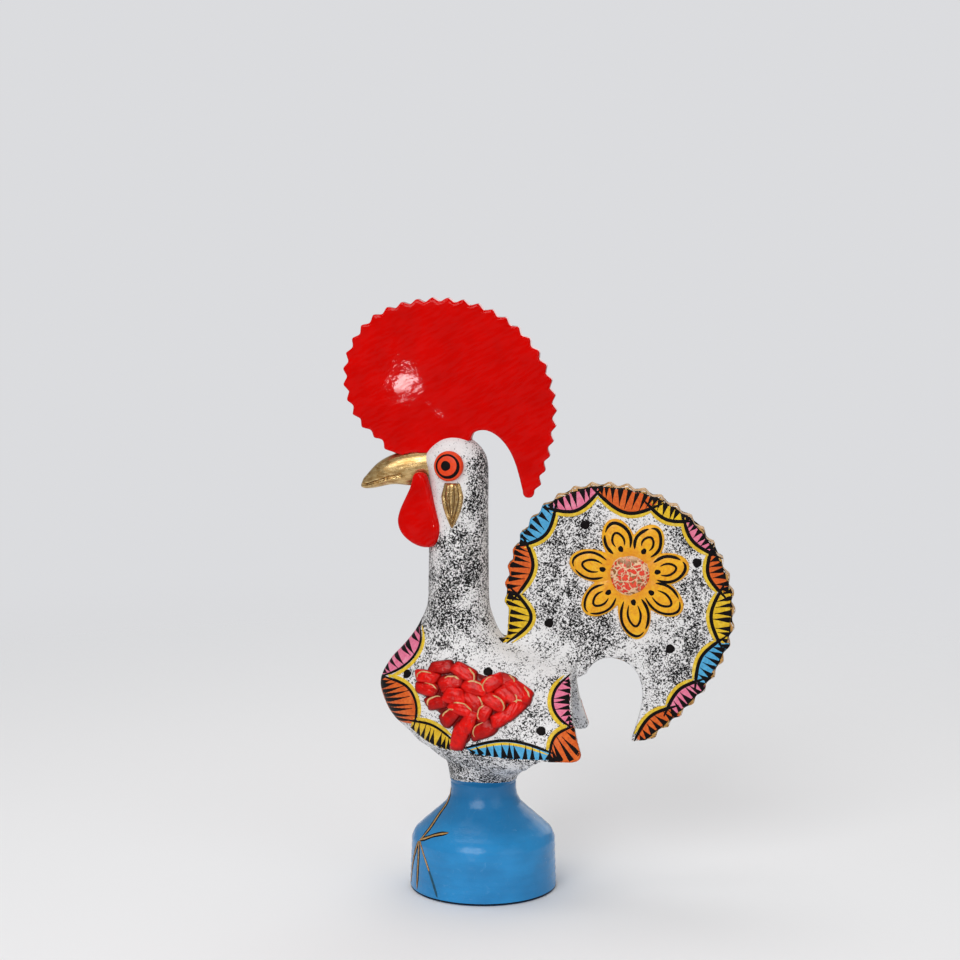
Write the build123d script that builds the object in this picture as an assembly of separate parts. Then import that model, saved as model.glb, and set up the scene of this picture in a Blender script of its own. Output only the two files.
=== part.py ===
from build123d import *
import os
from bisect import bisect_right
from math import atan, cos, radians, sin, sqrt, tan

# Painted clay rooster on a thrown bell pedestal, as the separate pieces that are luted together.
# Millimetres, +Z up. The origin is the centre of the pedestal's foot, on the surface it stands on.
# The beak points along -X and the tail along +X. The rooster's left side faces -Y.
# Pieces of the left side are built first and mirrored in the seam plane for the right side.

# Pedestal
FOOT_R = 24.9
SKIRT_TOP_R = 24.3
SKIRT_H = 18.5
FLARE_H = 30.5
PEDESTAL_H = 36.5
STEM_R = 11.1
PEDESTAL_WALL = 4.5
FOOT_EDGE_R = 0.9
SHOULDER_R = 6.0
FLARE_R = 9.0

# Spigot of the body in the stem of the pedestal
SPIGOT_DEPTH = 7.0
SPIGOT_WALL = 2.4
SPIGOT_CLEARANCE = 0.2

# Body, with heights measured from the chine, the sharp edge under the wings
PERCH_X = -0.8
CHINE_RISE = 13.0
HEAD_RISE = 94.0
HEAD_X = -7.5
HEAD_R = 9.9
NECK_R = 10.2
NECK_ROOT_RISE = 50.0
BODY_WALL = 3.6
NECK_BORE_R = 5.6
RUMP_R = 26.0
RUMP_X = 0.0
RUMP_RISE = 12.5
BACK_RISE = 34.5

# Level sections of the breast and flanks: rise, keel x, widest x, back x, half width
FLANK_SECTIONS = [
    (0.0, -19.0, 30.0, 54.0, 26.0),
    (6.5, -27.0, 26.0, 52.0, 24.4),
    (13.5, -32.3, 18.0, 49.0, 22.0),
    (20.5, -34.2, 10.0, 45.0, 19.0),
    (27.5, -31.2, 3.0, 38.0, 15.8),
    (34.5, -25.0, -3.0, 10.0, 12.6),
    (41.5, -20.4, -6.5, 4.8, 10.9),
]
BODY_LEVELS = 24
CROWN_STEPS = 5

# Level sections of the belly below the chine: rise, keel x, widest x, back x, half width
BELLY_SECTIONS = [
    (-9.2, -10.9, 2.5, 14.4, 13.6),
    (-5.0, -12.4, 14.0, 34.0, 19.0),
]
BELLY_INSET = 0.4

# Wings, laid flush in the flanks and standing free behind the rump
WING_T = 3.0
WING_FRONT_X = -23.0
WING_TOE_X = -15.0
WING_SHOULDER_X = -8.0
WING_SHOULDER_RISE = 30.0
WING_TOP_RISE = 38.0
WING_TIP_X = 35.4
WING_TIP_R = 2.2
WING_WAIST_X = 31.6
WING_WAIST_RISE = 19.0
WING_HEEL_X = 34.2

# Tail slab, with its outline measured from the centre of the flower
TAIL_X = 50.6
TAIL_RISE = 58.5
TAIL_T = 9.0
TAIL_EDGE_T = 5.2
TAIL_REACH = 46.0
TAIL_TEETH = 31
TAIL_TOOTH = 1.7
TAIL_FRONT = [(-41.8, -24.5), (-40.9, -12.0)]
TAIL_RIM = [
    (-40.9, -12.0), (-40.4, 0.0), (-34.0, 15.8), (-21.3, 26.9), (-5.6, 29.2), (9.6, 24.9),
    (24.4, 12.6), (31.9, -3.2), (32.0, -20.5), (25.4, -35.0), (14.1, -48.0), (5.2, -56.0),
]
TAIL_INNER = [(0.2, -56.6), (2.9, -47.5), (3.9, -40.0), (1.0, -31.4), (-6.6, -27.9), (-14.8, -33.5)]
TAIL_ROOT = [(-24.0, -38.5), (-33.0, -46.0), (-44.0, -38.0)]

# Comb slab, with its outline measured from the centre of the head
COMB_T = 8.4
COMB_EDGE_T = 4.6
COMB_REACH = 38.0
COMB_X = -3.5
COMB_RISE = 28.0
COMB_TEETH = 32
COMB_TOOTH = 1.7
COMB_RIM = [
    (-23.0, 4.6), (-33.2, 16.6), (-37.2, 30.4), (-30.2, 47.0), (-11.4, 54.6), (7.8, 52.4),
    (24.2, 40.2), (31.2, 21.8), (29.2, 4.6), (25.3, -7.6),
]
COMB_DROOP = (23.8, -10.3)
COMB_INNER = [(21.6, -8.2), (19.4, 0.6), (15.2, 8.6), (9.6, 12.4), (5.2, 11.6)]
COMB_SEAT = [(3.8, 8.4), (-12.6, 2.4)]
COMB_TONGUE_L = 9.0
COMB_TONGUE_T = 3.4
COMB_TONGUE_DEPTH = 5.0
COMB_TONGUE_CLEARANCE = 0.15

# Beak, with its sections measured from the centre of the head: x, rise, half height, half width
BEAK_SECTIONS = [
    (-6.0, 1.6, 4.6, 4.2),
    (-13.5, 0.8, 5.2, 4.6),
    (-21.5, -0.8, 4.9, 4.2),
    (-28.0, -3.4, 3.9, 3.3),
    (-32.2, -5.7, 1.7, 1.6),
]
BEAK_TIP_R = 1.2
BEAK_PEG_R = 2.2
BEAK_PEG_DEPTH = 6.5
BEAK_PEG_CLEARANCE = 0.15
BEAK_PEG_RISE = 1.0
MOUTH_DEPTH = 0.8
MOUTH_GAP = 0.9
MOUTH_TILT = 17.0
MOUTH_RISE = -1.9
MOUTH_BACK = -18.5

# Wattles, hanging from the beak at each side of the throat, measured from the centre of the head
WATTLE_X = -12.6
WATTLE_RISE = -18.4
WATTLE_R = 7.0
WATTLE_TOP_RISE = -2.6
WATTLE_TOP_R = 2.4
WATTLE_T = 4.6
WATTLE_EDGE_R = 1.4
WATTLE_OUT = 5.7
WATTLE_TOE_IN = 20.0

# Eyes and ear lobes, measured from the centre of the head
EYE_R = 4.6
EYE_X = -1.9
EYE_RISE = 0.8
EYE_PROUD = 1.5
EYE_EDGE_R = 1.2
LOBE_X = -0.6
LOBE_TOP_RISE = -4.4
LOBE_TIP_RISE = -19.6
LOBE_WIDE_RISE = -9.0
LOBE_TOP_HALF_W = 2.4
LOBE_HALF_W = 3.5
LOBE_PROUD = 1.2
LOBE_MARGIN = 0.85

# Flower on each face of the tail
PETALS = 7
PETAL_REACH = 20.4
PETAL_ROOT = 3.4
PETAL_HALF_W = 5.5
PETAL_TURN = 12.0
FLOWER_RELIEF = 1.5
BOSS_R = 6.2
BOSS_RELIEF = 2.9
BOSS_DOME_R = 14.0

# Heart of slip dabs on each wing: x, rise above the chine, turn in degrees
DAB_L = 8.4
DAB_W = 5.2
DAB_LOW_RELIEF = 0.9
DAB_HIGH_RELIEF = 1.5
HEART_LOW_DABS = [
    (-11.5, 26.6, 25), (-15.6, 21.0, 60), (-12.9, 15.6, 45), (-6.0, 20.0, -20), (-1.6, 19.8, 15),
    (8.2, 22.2, -20), (7.6, 16.0, -60), (-4.0, 10.6, 40), (3.6, 10.6, -35), (0.0, 4.6, 15),
]
HEART_HIGH_DABS = [
    (-5.6, 26.2, -15), (-10.0, 21.4, 35), (-6.4, 15.6, 20), (-0.8, 14.6, -10), (3.4, 24.4, 40),
    (3.0, 17.6, -30), (-8.2, 12.4, 50), (-1.4, 8.0, -10),
]

# Spread of the cutting and limiting blocks, larger than the whole ornament
SPREAD = 400.0

CHINE_Z = PEDESTAL_H + CHINE_RISE
HEAD_Z = CHINE_Z + HEAD_RISE
TAIL_Z = CHINE_Z + TAIL_RISE
SEAM = Plane.XZ


def half_section(rise, keel, wide, back, half_width):
    """Left half of a level section of the body: two quarter ellipses closed along the seam."""
    front = EllipticalCenterArc((wide, 0), wide - keel, half_width, 180, arc_size=90)
    rear = EllipticalCenterArc((wide, 0), back - wide, half_width, 270, arc_size=90)
    seam = Line((back, 0), (keel, 0))
    return Pos(0, 0, CHINE_Z + rise) * make_face([front.edge(), rear.edge(), seam.edge()])


def round_section(rise, centre, radius):
    return half_section(rise, centre - radius, centre, centre + radius, radius)


def left_side(shape):
    return shape & Pos(0, -SPREAD / 2, 0) * Box(SPREAD, SPREAD, SPREAD)


def smooth(places, values, at):
    """Value on a smooth curve through the given values that never overshoots them."""
    steps = [
        (values[i + 1] - values[i]) / (places[i + 1] - places[i]) for i in range(len(places) - 1)
    ]
    inner = [2 * a * b / (a + b) if a * b > 0 else 0.0 for a, b in zip(steps, steps[1:])]
    grades = [steps[0]] + inner + [steps[-1]]
    i = min(bisect_right(places, at), len(places) - 1) - 1
    span = places[i + 1] - places[i]
    t = (at - places[i]) / span
    ends = values[i] * (1 + 2 * t) * (1 - t) ** 2 + values[i + 1] * t**2 * (3 - 2 * t)
    return ends + span * (grades[i] * t * (1 - t) ** 2 - grades[i + 1] * t**2 * (1 - t))


def upper_form(inset=0.0):
    """Left half of breast, flanks, neck and head, drawn in by inset at the sides and from above."""
    rows = FLANK_SECTIONS + [
        (NECK_ROOT_RISE, HEAD_X - NECK_R, HEAD_X, HEAD_X + NECK_R, NECK_R),
        (HEAD_RISE, HEAD_X - HEAD_R, HEAD_X, HEAD_X + HEAD_R, HEAD_R),
    ]
    rises, keels, wides, backs, half_widths = zip(*rows)
    sections = []
    for level in range(BODY_LEVELS + 1):
        rise = HEAD_RISE * level / BODY_LEVELS
        keel = smooth(rises, keels, rise) + inset
        wide = smooth(rises, wides, rise)
        back = smooth(rises, backs, rise) - inset
        half_width = smooth(rises, half_widths, rise) - inset
        sections.append(half_section(rise - inset, keel, wide, back, half_width))
    for step in range(1, CROWN_STEPS + 1):
        angle = radians(90 * step / (CROWN_STEPS + 1))
        rise = HEAD_RISE - inset + (HEAD_R - inset) * sin(angle)
        sections.append(round_section(rise, HEAD_X, (HEAD_R - inset) * cos(angle)))
    return loft(sections)


def belly_form():
    """Left half of the belly, from the round foot out to the chine."""
    rise, keel, wide, back, half_width = FLANK_SECTIONS[0]
    sections = [round_section(-CHINE_RISE, -PERCH_X, STEM_R)]
    sections += [half_section(*section) for section in BELLY_SECTIONS]
    sections.append(half_section(rise, keel, wide, back - BELLY_INSET, half_width - BELLY_INSET))
    return loft(sections)


def behind_rump(inset=0.0):
    """Everything behind the rounded rump and below the top of the back."""
    rump = Pos(RUMP_X, 0, CHINE_Z + RUMP_RISE) * Rot(90, 0, 0) * Cylinder(RUMP_R - inset, SPREAD)
    low = CHINE_Z + BELLY_SECTIONS[0][0]
    high = CHINE_Z + BACK_RISE - inset
    block = Pos(RUMP_X + SPREAD / 2, 0, (low + high) / 2) * Box(SPREAD, SPREAD, high - low)
    return block - rump


def off_body(piece, skin):
    """Piece less both halves of the body, so that it seats on them."""
    return piece - skin - mirror(skin, SEAM)


def lens(x, z, thickness, edge_thickness, reach, grow=0.0):
    """Biconvex form shared by the tail and the comb, thick in the middle and thin at the rim."""
    sag = (thickness - edge_thickness) / 2
    radius = (reach**2 + sag**2) / (2 * sag)
    offset = radius - thickness / 2
    ball = Sphere(radius + grow)
    return (Pos(x, offset, z) * ball) & (Pos(x, -offset, z) * ball)


def toothed_rim(points, teeth, depth):
    """Zigzag with its valleys on a smooth curve and its tips standing out of it."""
    curve = Spline(*points)
    corners = []
    for step in range(2 * teeth + 1):
        place = curve.position_at(step / (2 * teeth))
        along = curve.tangent_at(step / (2 * teeth))
        outward = Vector(-along.Y, along.X)
        corners.append(place + outward * depth if step % 2 else place)
    return Polyline(*corners)


def slab(outline, x, z):
    """Outline drawn in the seam plane about x, z and spread to both sides."""
    face = SEAM * Pos(x, z) * make_face(outline)
    return extrude(face, SPREAD / 4, both=True)


def leftward(sketch, x, z):
    """Sketch drawn in the seam plane about x, z and run out to the left side."""
    return extrude(SEAM * Pos(x, z) * sketch, SPREAD / 4)


def make_pedestal():
    slope = atan((FLARE_H - SKIRT_H) / (SKIRT_TOP_R - STEM_R))

    def bell(inset, foot_edge):
        drop = inset * (1 / cos(slope) - tan(slope))
        corners = [
            (0, 0),
            (FOOT_R - inset, 0),
            (SKIRT_TOP_R - inset, SKIRT_H - drop),
            (STEM_R - inset, FLARE_H - drop),
            (STEM_R - inset, PEDESTAL_H),
            (0, PEDESTAL_H),
        ]
        outline = FilletPolyline(
            *corners, radius=[0, foot_edge, SHOULDER_R, FLARE_R, 0, 0], close=True
        )
        return revolve(Plane.XZ * make_face(outline), Axis.Z)

    return bell(0, FOOT_EDGE_R) - bell(PEDESTAL_WALL, 0)


def make_tail():
    rim = toothed_rim(TAIL_RIM, TAIL_TEETH, TAIL_TOOTH)
    front = Line(TAIL_FRONT[0], TAIL_FRONT[1])
    end = Line(TAIL_RIM[-1], TAIL_INNER[0])
    inner = Spline(*TAIL_INNER)
    root = Polyline(TAIL_INNER[-1], *TAIL_ROOT, TAIL_FRONT[0])
    outline = rim.edges() + front.edges() + end.edges() + inner.edges() + root.edges()
    return slab(outline, TAIL_X, TAIL_Z) & tail_lens()


def tail_lens(grow=0.0):
    return lens(TAIL_X, TAIL_Z, TAIL_T, TAIL_EDGE_T, TAIL_REACH, grow)


def make_comb(skin, beak):
    rim = toothed_rim(COMB_RIM, COMB_TEETH, COMB_TOOTH)
    droop = ThreePointArc(COMB_RIM[-1], COMB_DROOP, COMB_INNER[0])
    inner = Spline(*COMB_INNER)
    seat = Polyline(COMB_INNER[-1], *COMB_SEAT, COMB_RIM[0])
    outline = rim.edges() + droop.edges() + inner.edges() + seat.edges()
    blade = slab(outline, HEAD_X, HEAD_Z) & lens(
        HEAD_X + COMB_X, HEAD_Z + COMB_RISE, COMB_T, COMB_EDGE_T, COMB_REACH
    )
    return off_body(blade - beak, skin) + comb_tongue(0)


def comb_tongue(clearance):
    """Tongue under the comb, let into the crown along the seam."""
    foot = HEAD_Z + HEAD_R - COMB_TONGUE_DEPTH - clearance
    height = COMB_TONGUE_DEPTH + COMB_TONGUE_T
    length = COMB_TONGUE_L + 2 * clearance
    thickness = COMB_TONGUE_T + 2 * clearance
    return Pos(HEAD_X, 0, foot + height / 2) * Box(length, thickness, height)


def beak_form(inset=0.0):
    sections = [
        Plane((HEAD_X + x, 0, HEAD_Z + rise), x_dir=(0, 1, 0), z_dir=(-1, 0, 0))
        * Ellipse(half_width - inset, half_height - inset)
        for x, rise, half_height, half_width in BEAK_SECTIONS
    ]
    return loft(sections)


def beak_peg(clearance):
    """Peg behind the beak, let into the face along the seam."""
    peg = Cylinder(BEAK_PEG_R + clearance, 2 * (BEAK_PEG_DEPTH + clearance))
    return Pos(HEAD_X - HEAD_R, 0, HEAD_Z + BEAK_PEG_RISE) * Rot(0, 90, 0) * peg


def make_beak(skin):
    form = beak_form()
    tip = form.faces().sort_by(Axis.X)[0]
    form = fillet(tip.edges(), BEAK_TIP_R)
    corner = Pos(HEAD_X + MOUTH_BACK, 0, HEAD_Z + MOUTH_RISE) * Rot(0, -MOUTH_TILT, 0)
    gap = corner * Pos(-SPREAD / 2, 0, 0) * Box(SPREAD, SPREAD, MOUTH_GAP)
    groove = gap - beak_form(MOUTH_DEPTH)
    return off_body(form - groove, skin) + beak_peg(0)


def make_wattle(skin, beak):
    drop = WATTLE_TOP_RISE - WATTLE_RISE
    ends = Circle(WATTLE_R) + Pos(0, drop) * Circle(WATTLE_TOP_R)
    shape = make_hull(ends.edges())
    plate = extrude(SEAM * shape, WATTLE_T / 2, both=True)
    rims = plate.faces().sort_by(Axis.Y)
    plate = fillet(rims[0].edges() + rims[-1].edges(), WATTLE_EDGE_R)
    hung = Pos(HEAD_X + WATTLE_X, -WATTLE_OUT, HEAD_Z + WATTLE_RISE) * Rot(0, 0, -WATTLE_TOE_IN)
    return left_side(hung * plate) - skin - beak


def make_eye(skin):
    height = HEAD_R + EYE_PROUD
    disc = Pos(0, 0, height / 2) * Cylinder(EYE_R, height)
    disc = fillet(disc.faces().sort_by(Axis.Z)[-1].edges(), EYE_EDGE_R)
    outward = Vector(EYE_X, -sqrt(HEAD_R**2 - EYE_X**2 - EYE_RISE**2), EYE_RISE)
    return left_side(Plane((HEAD_X, 0, HEAD_Z), z_dir=outward) * disc) - skin


def lobe_leaf(inset=0.0):
    """Outline of the ear lobe, blunt at the top and pointed below."""
    left = Spline(
        (inset - LOBE_TOP_HALF_W, LOBE_TOP_RISE - inset),
        (inset - LOBE_HALF_W, LOBE_WIDE_RISE),
        (0, LOBE_TIP_RISE + 2 * inset),
    )
    right = mirror(left, Plane.YZ)
    top = Line(left @ 0, right @ 0)
    return make_face(left.edges() + right.edges() + top.edges())


def make_ear_lobe(skin):
    """Leaf with a groove along its margin, raised on the side of the neck."""
    place = HEAD_X + LOBE_X
    raised = leftward(lobe_leaf(), place, HEAD_Z) & upper_form(-LOBE_PROUD)
    margin = lobe_leaf(LOBE_MARGIN) - lobe_leaf(2 * LOBE_MARGIN)
    groove = leftward(margin, place, HEAD_Z) - upper_form(-LOBE_PROUD / 2)
    return raised - groove - skin


def make_flower():
    """Rosette of petals around an open middle, seated on the left face of the tail."""
    half_l = (PETAL_REACH - PETAL_ROOT) / 2
    petal = Pos(PETAL_ROOT + half_l, 0) * Ellipse(half_l, PETAL_HALF_W)
    rosette = Circle(BOSS_R + PETAL_ROOT / 2)
    for index in range(PETALS):
        rosette += Rot(0, 0, PETAL_TURN + index * 360 / PETALS) * petal
    rosette -= Circle(BOSS_R)
    return (leftward(rosette, TAIL_X, TAIL_Z) & tail_lens(FLOWER_RELIEF)) - tail_lens()


def make_boss():
    pin = leftward(Circle(BOSS_R), TAIL_X, TAIL_Z)
    crest = TAIL_T / 2 + BOSS_RELIEF
    dome = Pos(TAIL_X, BOSS_DOME_R - crest, TAIL_Z) * Sphere(BOSS_DOME_R)
    return (pin & dome) - tail_lens()


def make_wing_block():
    """Side outline of the wing, run out to the left."""
    heel = (WING_HEEL_X, WING_TOP_RISE)
    tip = (WING_TIP_X, WING_TIP_R)
    rear = Spline(tip, (WING_WAIST_X, WING_WAIST_RISE), heel)
    round_tip = RadiusArc(tip, (WING_TIP_X - WING_TIP_R, 0), WING_TIP_R)
    lower = Line((WING_TIP_X - WING_TIP_R, 0), (WING_TOE_X, 0))
    front = ThreePointArc(
        (WING_TOE_X, 0),
        (WING_FRONT_X, WING_SHOULDER_RISE / 2),
        (WING_SHOULDER_X, WING_SHOULDER_RISE),
    )
    top = Line((WING_SHOULDER_X, WING_SHOULDER_RISE), heel)
    outline = rear.edges() + round_tip.edges() + lower.edges() + front.edges() + top.edges()
    return leftward(make_face(outline), 0, CHINE_Z)


def make_heart(skin):
    """Two layers of overlapping slip dabs in the outline of a heart."""

    def layer(dabs, relief):
        ovals = Sketch()
        for x, rise, turn in dabs:
            ovals += Pos(x, rise) * Rot(0, 0, turn) * Ellipse(DAB_L / 2, DAB_W / 2)
        return leftward(ovals, 0, CHINE_Z) & upper_form(-relief)

    raised = layer(HEART_LOW_DABS, DAB_LOW_RELIEF) + layer(HEART_HIGH_DABS, DAB_HIGH_RELIEF)
    return raised - skin


def upright(x, low, high, radius):
    return Pos(x, 0, (low + high) / 2) * Cylinder(radius, high - low)


def make_cavity():
    """Left half of the hollow inside the body, with the bores of the neck and the foot."""
    core = upper_form(WING_T + BODY_WALL) - behind_rump(BODY_WALL)
    depth = NECK_ROOT_RISE - BODY_WALL
    core &= Pos(0, 0, CHINE_Z + BODY_WALL + depth / 2) * Box(SPREAD, SPREAD, depth)
    neck = upright(HEAD_X, CHINE_Z + WING_SHOULDER_RISE, HEAD_Z - HEAD_R, NECK_BORE_R)
    foot_r = STEM_R - PEDESTAL_WALL - SPIGOT_CLEARANCE - SPIGOT_WALL
    foot = upright(-PERCH_X, PEDESTAL_H - 2 * SPIGOT_DEPTH, CHINE_Z + 2 * BODY_WALL, foot_r)
    return core + left_side(neck) + left_side(foot)


def make_body(skin, wing_block, tail):
    """Left half shell, with the pocket of the wing and its share of each joint along the seam."""
    spigot_r = STEM_R - PEDESTAL_WALL - SPIGOT_CLEARANCE
    spigot = upright(-PERCH_X, PEDESTAL_H - SPIGOT_DEPTH, CHINE_Z, spigot_r)
    half = skin + belly_form() - behind_rump() + left_side(spigot)
    half -= wing_block - upper_form(WING_T) - tail_lens()
    half -= make_cavity()
    half -= tail
    half -= comb_tongue(COMB_TONGUE_CLEARANCE)
    return half - beak_peg(BEAK_PEG_CLEARANCE)


def make_wing(skin, wing_block):
    return (wing_block & skin) - upper_form(WING_T) - tail_lens()


def main():
    os.makedirs("parts", exist_ok=True)
    skin = upper_form()
    wing_block = make_wing_block()
    tail = make_tail()
    beak = make_beak(skin)
    left_pieces = {
        "body": make_body(skin, wing_block, tail),
        "wing": make_wing(skin, wing_block),
        "wattle": make_wattle(skin, beak),
        "eye": make_eye(skin),
        "ear_lobe": make_ear_lobe(skin),
        "tail_flower": make_flower(),
        "flower_boss": make_boss(),
        "heart": make_heart(skin),
    }
    pieces = {"tail": tail, "comb": make_comb(skin, beak), "beak": beak}
    for name, piece in left_pieces.items():
        pieces[name + "_left"] = piece
        pieces[name + "_right"] = mirror(piece, SEAM)
    pieces = {name: Pos(PERCH_X, 0, 0) * piece for name, piece in pieces.items()}
    pieces["pedestal"] = make_pedestal()
    for name, piece in pieces.items():
        export_step(piece, os.path.join("parts", name + ".step"))


main()
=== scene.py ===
import math
import random

import bmesh
import bpy
import numpy as np
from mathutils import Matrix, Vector, noise
from mathutils.bvhtree import BVHTree


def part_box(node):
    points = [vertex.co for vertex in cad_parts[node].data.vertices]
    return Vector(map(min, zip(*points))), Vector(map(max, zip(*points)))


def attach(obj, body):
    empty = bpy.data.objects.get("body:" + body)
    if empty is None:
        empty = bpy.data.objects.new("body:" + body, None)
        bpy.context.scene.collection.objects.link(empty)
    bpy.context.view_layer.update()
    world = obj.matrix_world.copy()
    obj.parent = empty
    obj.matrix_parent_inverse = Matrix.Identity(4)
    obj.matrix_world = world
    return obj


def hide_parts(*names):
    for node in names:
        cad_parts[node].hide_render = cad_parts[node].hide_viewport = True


# Painted clay rooster on a thrown pedestal: the clay skin, its slip ornament and its brushwork.
# Shapes are worked out in millimetres in the frame of the solids and written to meshes in metres.

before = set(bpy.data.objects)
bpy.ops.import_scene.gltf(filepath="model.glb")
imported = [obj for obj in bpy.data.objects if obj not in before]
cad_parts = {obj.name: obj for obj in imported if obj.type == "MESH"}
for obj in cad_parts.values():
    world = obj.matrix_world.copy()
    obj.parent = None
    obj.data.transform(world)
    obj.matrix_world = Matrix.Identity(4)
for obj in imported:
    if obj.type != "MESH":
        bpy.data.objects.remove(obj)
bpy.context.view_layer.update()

MM = 0.001
SIDES = {"left": -1, "right": 1}
FAR = 300.0

# Clay: size of its grain, rounds of wear, and depth and span of its lumps
SKIN_VOXEL = 0.5
SKIN_WEAR = 7
SMALL_VOXEL = 0.3
SMALL_WEAR = 6
COMB_VOXEL = 0.42
WATTLE_WEAR = 30
COMB_LUMP = 0.07
COMB_LUMP_SPAN = 17.0
SKIN_LUMP = 0.14
SKIN_LUMP_SPAN = 11.0
WATTLE_LUMP = 0.15
WATTLE_LUMP_SPAN = 5.0

# The fold where the tail grows out of the back, as x and z, and how widely it is smoothed
BACK_FOLD = [(15.0, 83.0), (26.0, 79.6)]
BACK_FOLD_SPREAD = 4.6
BACK_FOLD_ROUNDS = 500
BLEND_LEAST = 0.02
BLEND_PULL = 0.6

# Hand shaping: centre, reach and shift of each push, with its shift in y away from the seam
SKIN_PUSHES = [
    ((26.0, 0.0, 44.6), (7.0, 40.0, 3.4), (-9.0, 0.0, 1.6)),
    ((-17.5, 0.0, 147.0), (7.0, 40.0, 4.5), (-2.0, 0.0, 0.2)),
    ((-12.0, 0.0, 153.0), (9.0, 40.0, 5.0), (-0.7, 0.0, 1.2)),
]
COMB_PUSHES = [
    ((-36.0, 0.0, 151.0), (6.0, 20.0, 6.0), (1.6, 0.0, 1.0)),
    ((-8.6, 0.0, 156.8), (7.0, 20.0, 7.0), (0.0, 0.4, 0.0)),
]
BEAK_PUSHES = [
    ((-23.0, 0.0, 139.0), (6.0, 12.0, 4.0), (0.0, 0.0, -2.0)),
    ((-37.5, 0.0, 140.4), (4.0, 12.0, 3.0), (-0.3, 0.0, -1.1)),
    ((-40.4, 0.0, 137.0), (2.0, 12.0, 1.4), (-0.8, 0.0, -0.2)),
]
MOUTH = [(-39.4, 137.3), (-36.6, 138.5), (-32.6, 139.6)]
MOUTH_W = 0.24
MOUTH_H = 0.04
WATTLE_PUSHES = [
    ((-20.0, 0.0, 124.0), (12.0, 20.0, 8.0), (0.8, 0.0, -0.8)),
    ((-27.0, 0.0, 128.0), (6.0, 20.0, 8.0), (-1.2, 0.0, 0.0)),
    ((-16.5, 0.0, 119.0), (5.0, 20.0, 5.0), (0.9, 0.0, -1.6)),
    ((-26.0, 0.0, 120.0), (5.0, 20.0, 4.0), (0.2, 0.0, 0.3)),
    ((-19.5, 0.0, 138.0), (9.0, 20.0, 8.0), (0.7, 0.0, -1.9)),
]

# Places on the tail, as x and z, and the bounds of its cut rim
FLOWER = Vector((49.3, 108.6))
ARCH = Vector((44.5, 66.0))
ARCH_R = 13.5
TAIL_FRONT_X = 7.5
RIM_LEAN = 0.80
RIM_HALF_T = 4.2
TAIL_FOOT_Z = 50.5
TAIL_ROOT_Z = 84.0

# Thickness of the brushwork over the clay
SUNK = 0.15
FILL_H = 0.09
HALO_H = 0.11
STROKE_H = 0.13
LINE_H = 0.2
DOT_H = 0.28

# How the edge of a painted surface is felt for
DROP = 1.6
EDGE_STEP = 0.25
EDGE_REACH = 16.0
EDGE_ROUNDS = 6
TAIL_WIDEST = 4.9
RIM_INSET = 0.45
NOTCH_SPAN = 7
TIP_OVERLAP = 0.25
TIP_H = 0.03
TIP_ROWS = 6
TIP_DEPTH = 0.6

# The tail scallops that end before this x are painted out to the tooth tips
FRONT_RIM_X = 30.0
FRONT_INSET = 0.12

# Half widths and spacing of the brushwork
RAY_W = 1.4
LINE_W = 0.50
HALO_W = 0.72
TAIL_LINE_W = 0.64
DOT_R = 1.7
HALO_GAP = 1.0
KEEL_W = 1.3
KEEL_POINTS = 41
KEEL_ASIDE = 0.15
KEEL_INSET = 0.03
TAIL_FAN = 30.0
RAY_PITCH = 2.05
LEAST_RAYS = 6
RAY_SCATTER = 0.15
RAY_LEAN = 0.03
RAY_REACH = (0.78, 1.0)
RAY_SWELL = (0.75, 1.2)
RAY_POINT_W = 0.16
RAY_STEPS = 14
TAPER = 0.2
SCALLOP_STEP = 0.25
SCALLOP_POINTS = 64
TAIL_RUN_OUT = 3.2
BREAST_RUN_OUT = 1.2
WING_RUN_OUT = 1.0

# Scallops round the tail: colour, then start, deepest point and end of the inner line as x and z
TAIL_SCALLOPS = [
    ("yellow", (8.9, 85.0), (16.4, 93.5), (11.3, 101.3)),
    ("orange", (12.0, 101.3), (17.0, 111.0), (14.6, 118.6)),
    ("blue", (13.0, 117.6), (21.0, 121.3), (24.4, 130.2)),
    ("pink", (22.8, 130.0), (30.9, 129.5), (38.5, 135.9)),
    ("orange", (38.4, 135.6), (49.0, 129.0), (57.2, 131.2)),
    ("yellow", (56.0, 131.0), (60.7, 127.3), (68.8, 126.6)),
    ("pink", (66.8, 127.4), (69.6, 120.4), (76.8, 115.6)),
    ("orange", (75.8, 116.2), (75.0, 109.2), (79.2, 103.0)),
    ("yellow", (79.2, 103.4), (76.2, 95.2), (79.0, 86.2)),
    ("blue", (79.0, 86.6), (73.4, 81.4), (71.4, 72.6)),
    ("pink", (71.8, 72.8), (66.2, 70.0), (62.2, 63.4)),
    ("orange", (62.8, 63.4), (57.0, 60.8), (51.8, 53.0)),
]

# Scallops on the breast: colour, inner line, top and foot of their edge on the keel, number of rays
BREAST_CENTRE = (5.0, 72.0)
BREAST_SCALLOPS = [
    ("pink", [(-21.4, 90.6), (-20.3, 86.0), (-22.4, 80.6), (-33.2, 72.8)], (92.0, 72.6), 9),
    ("orange", [(-32.9, 72.4), (-23.6, 70.2), (-20.9, 64.6), (-21.8, 58.2)], (72.2, 57.4), 10),
]

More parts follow.
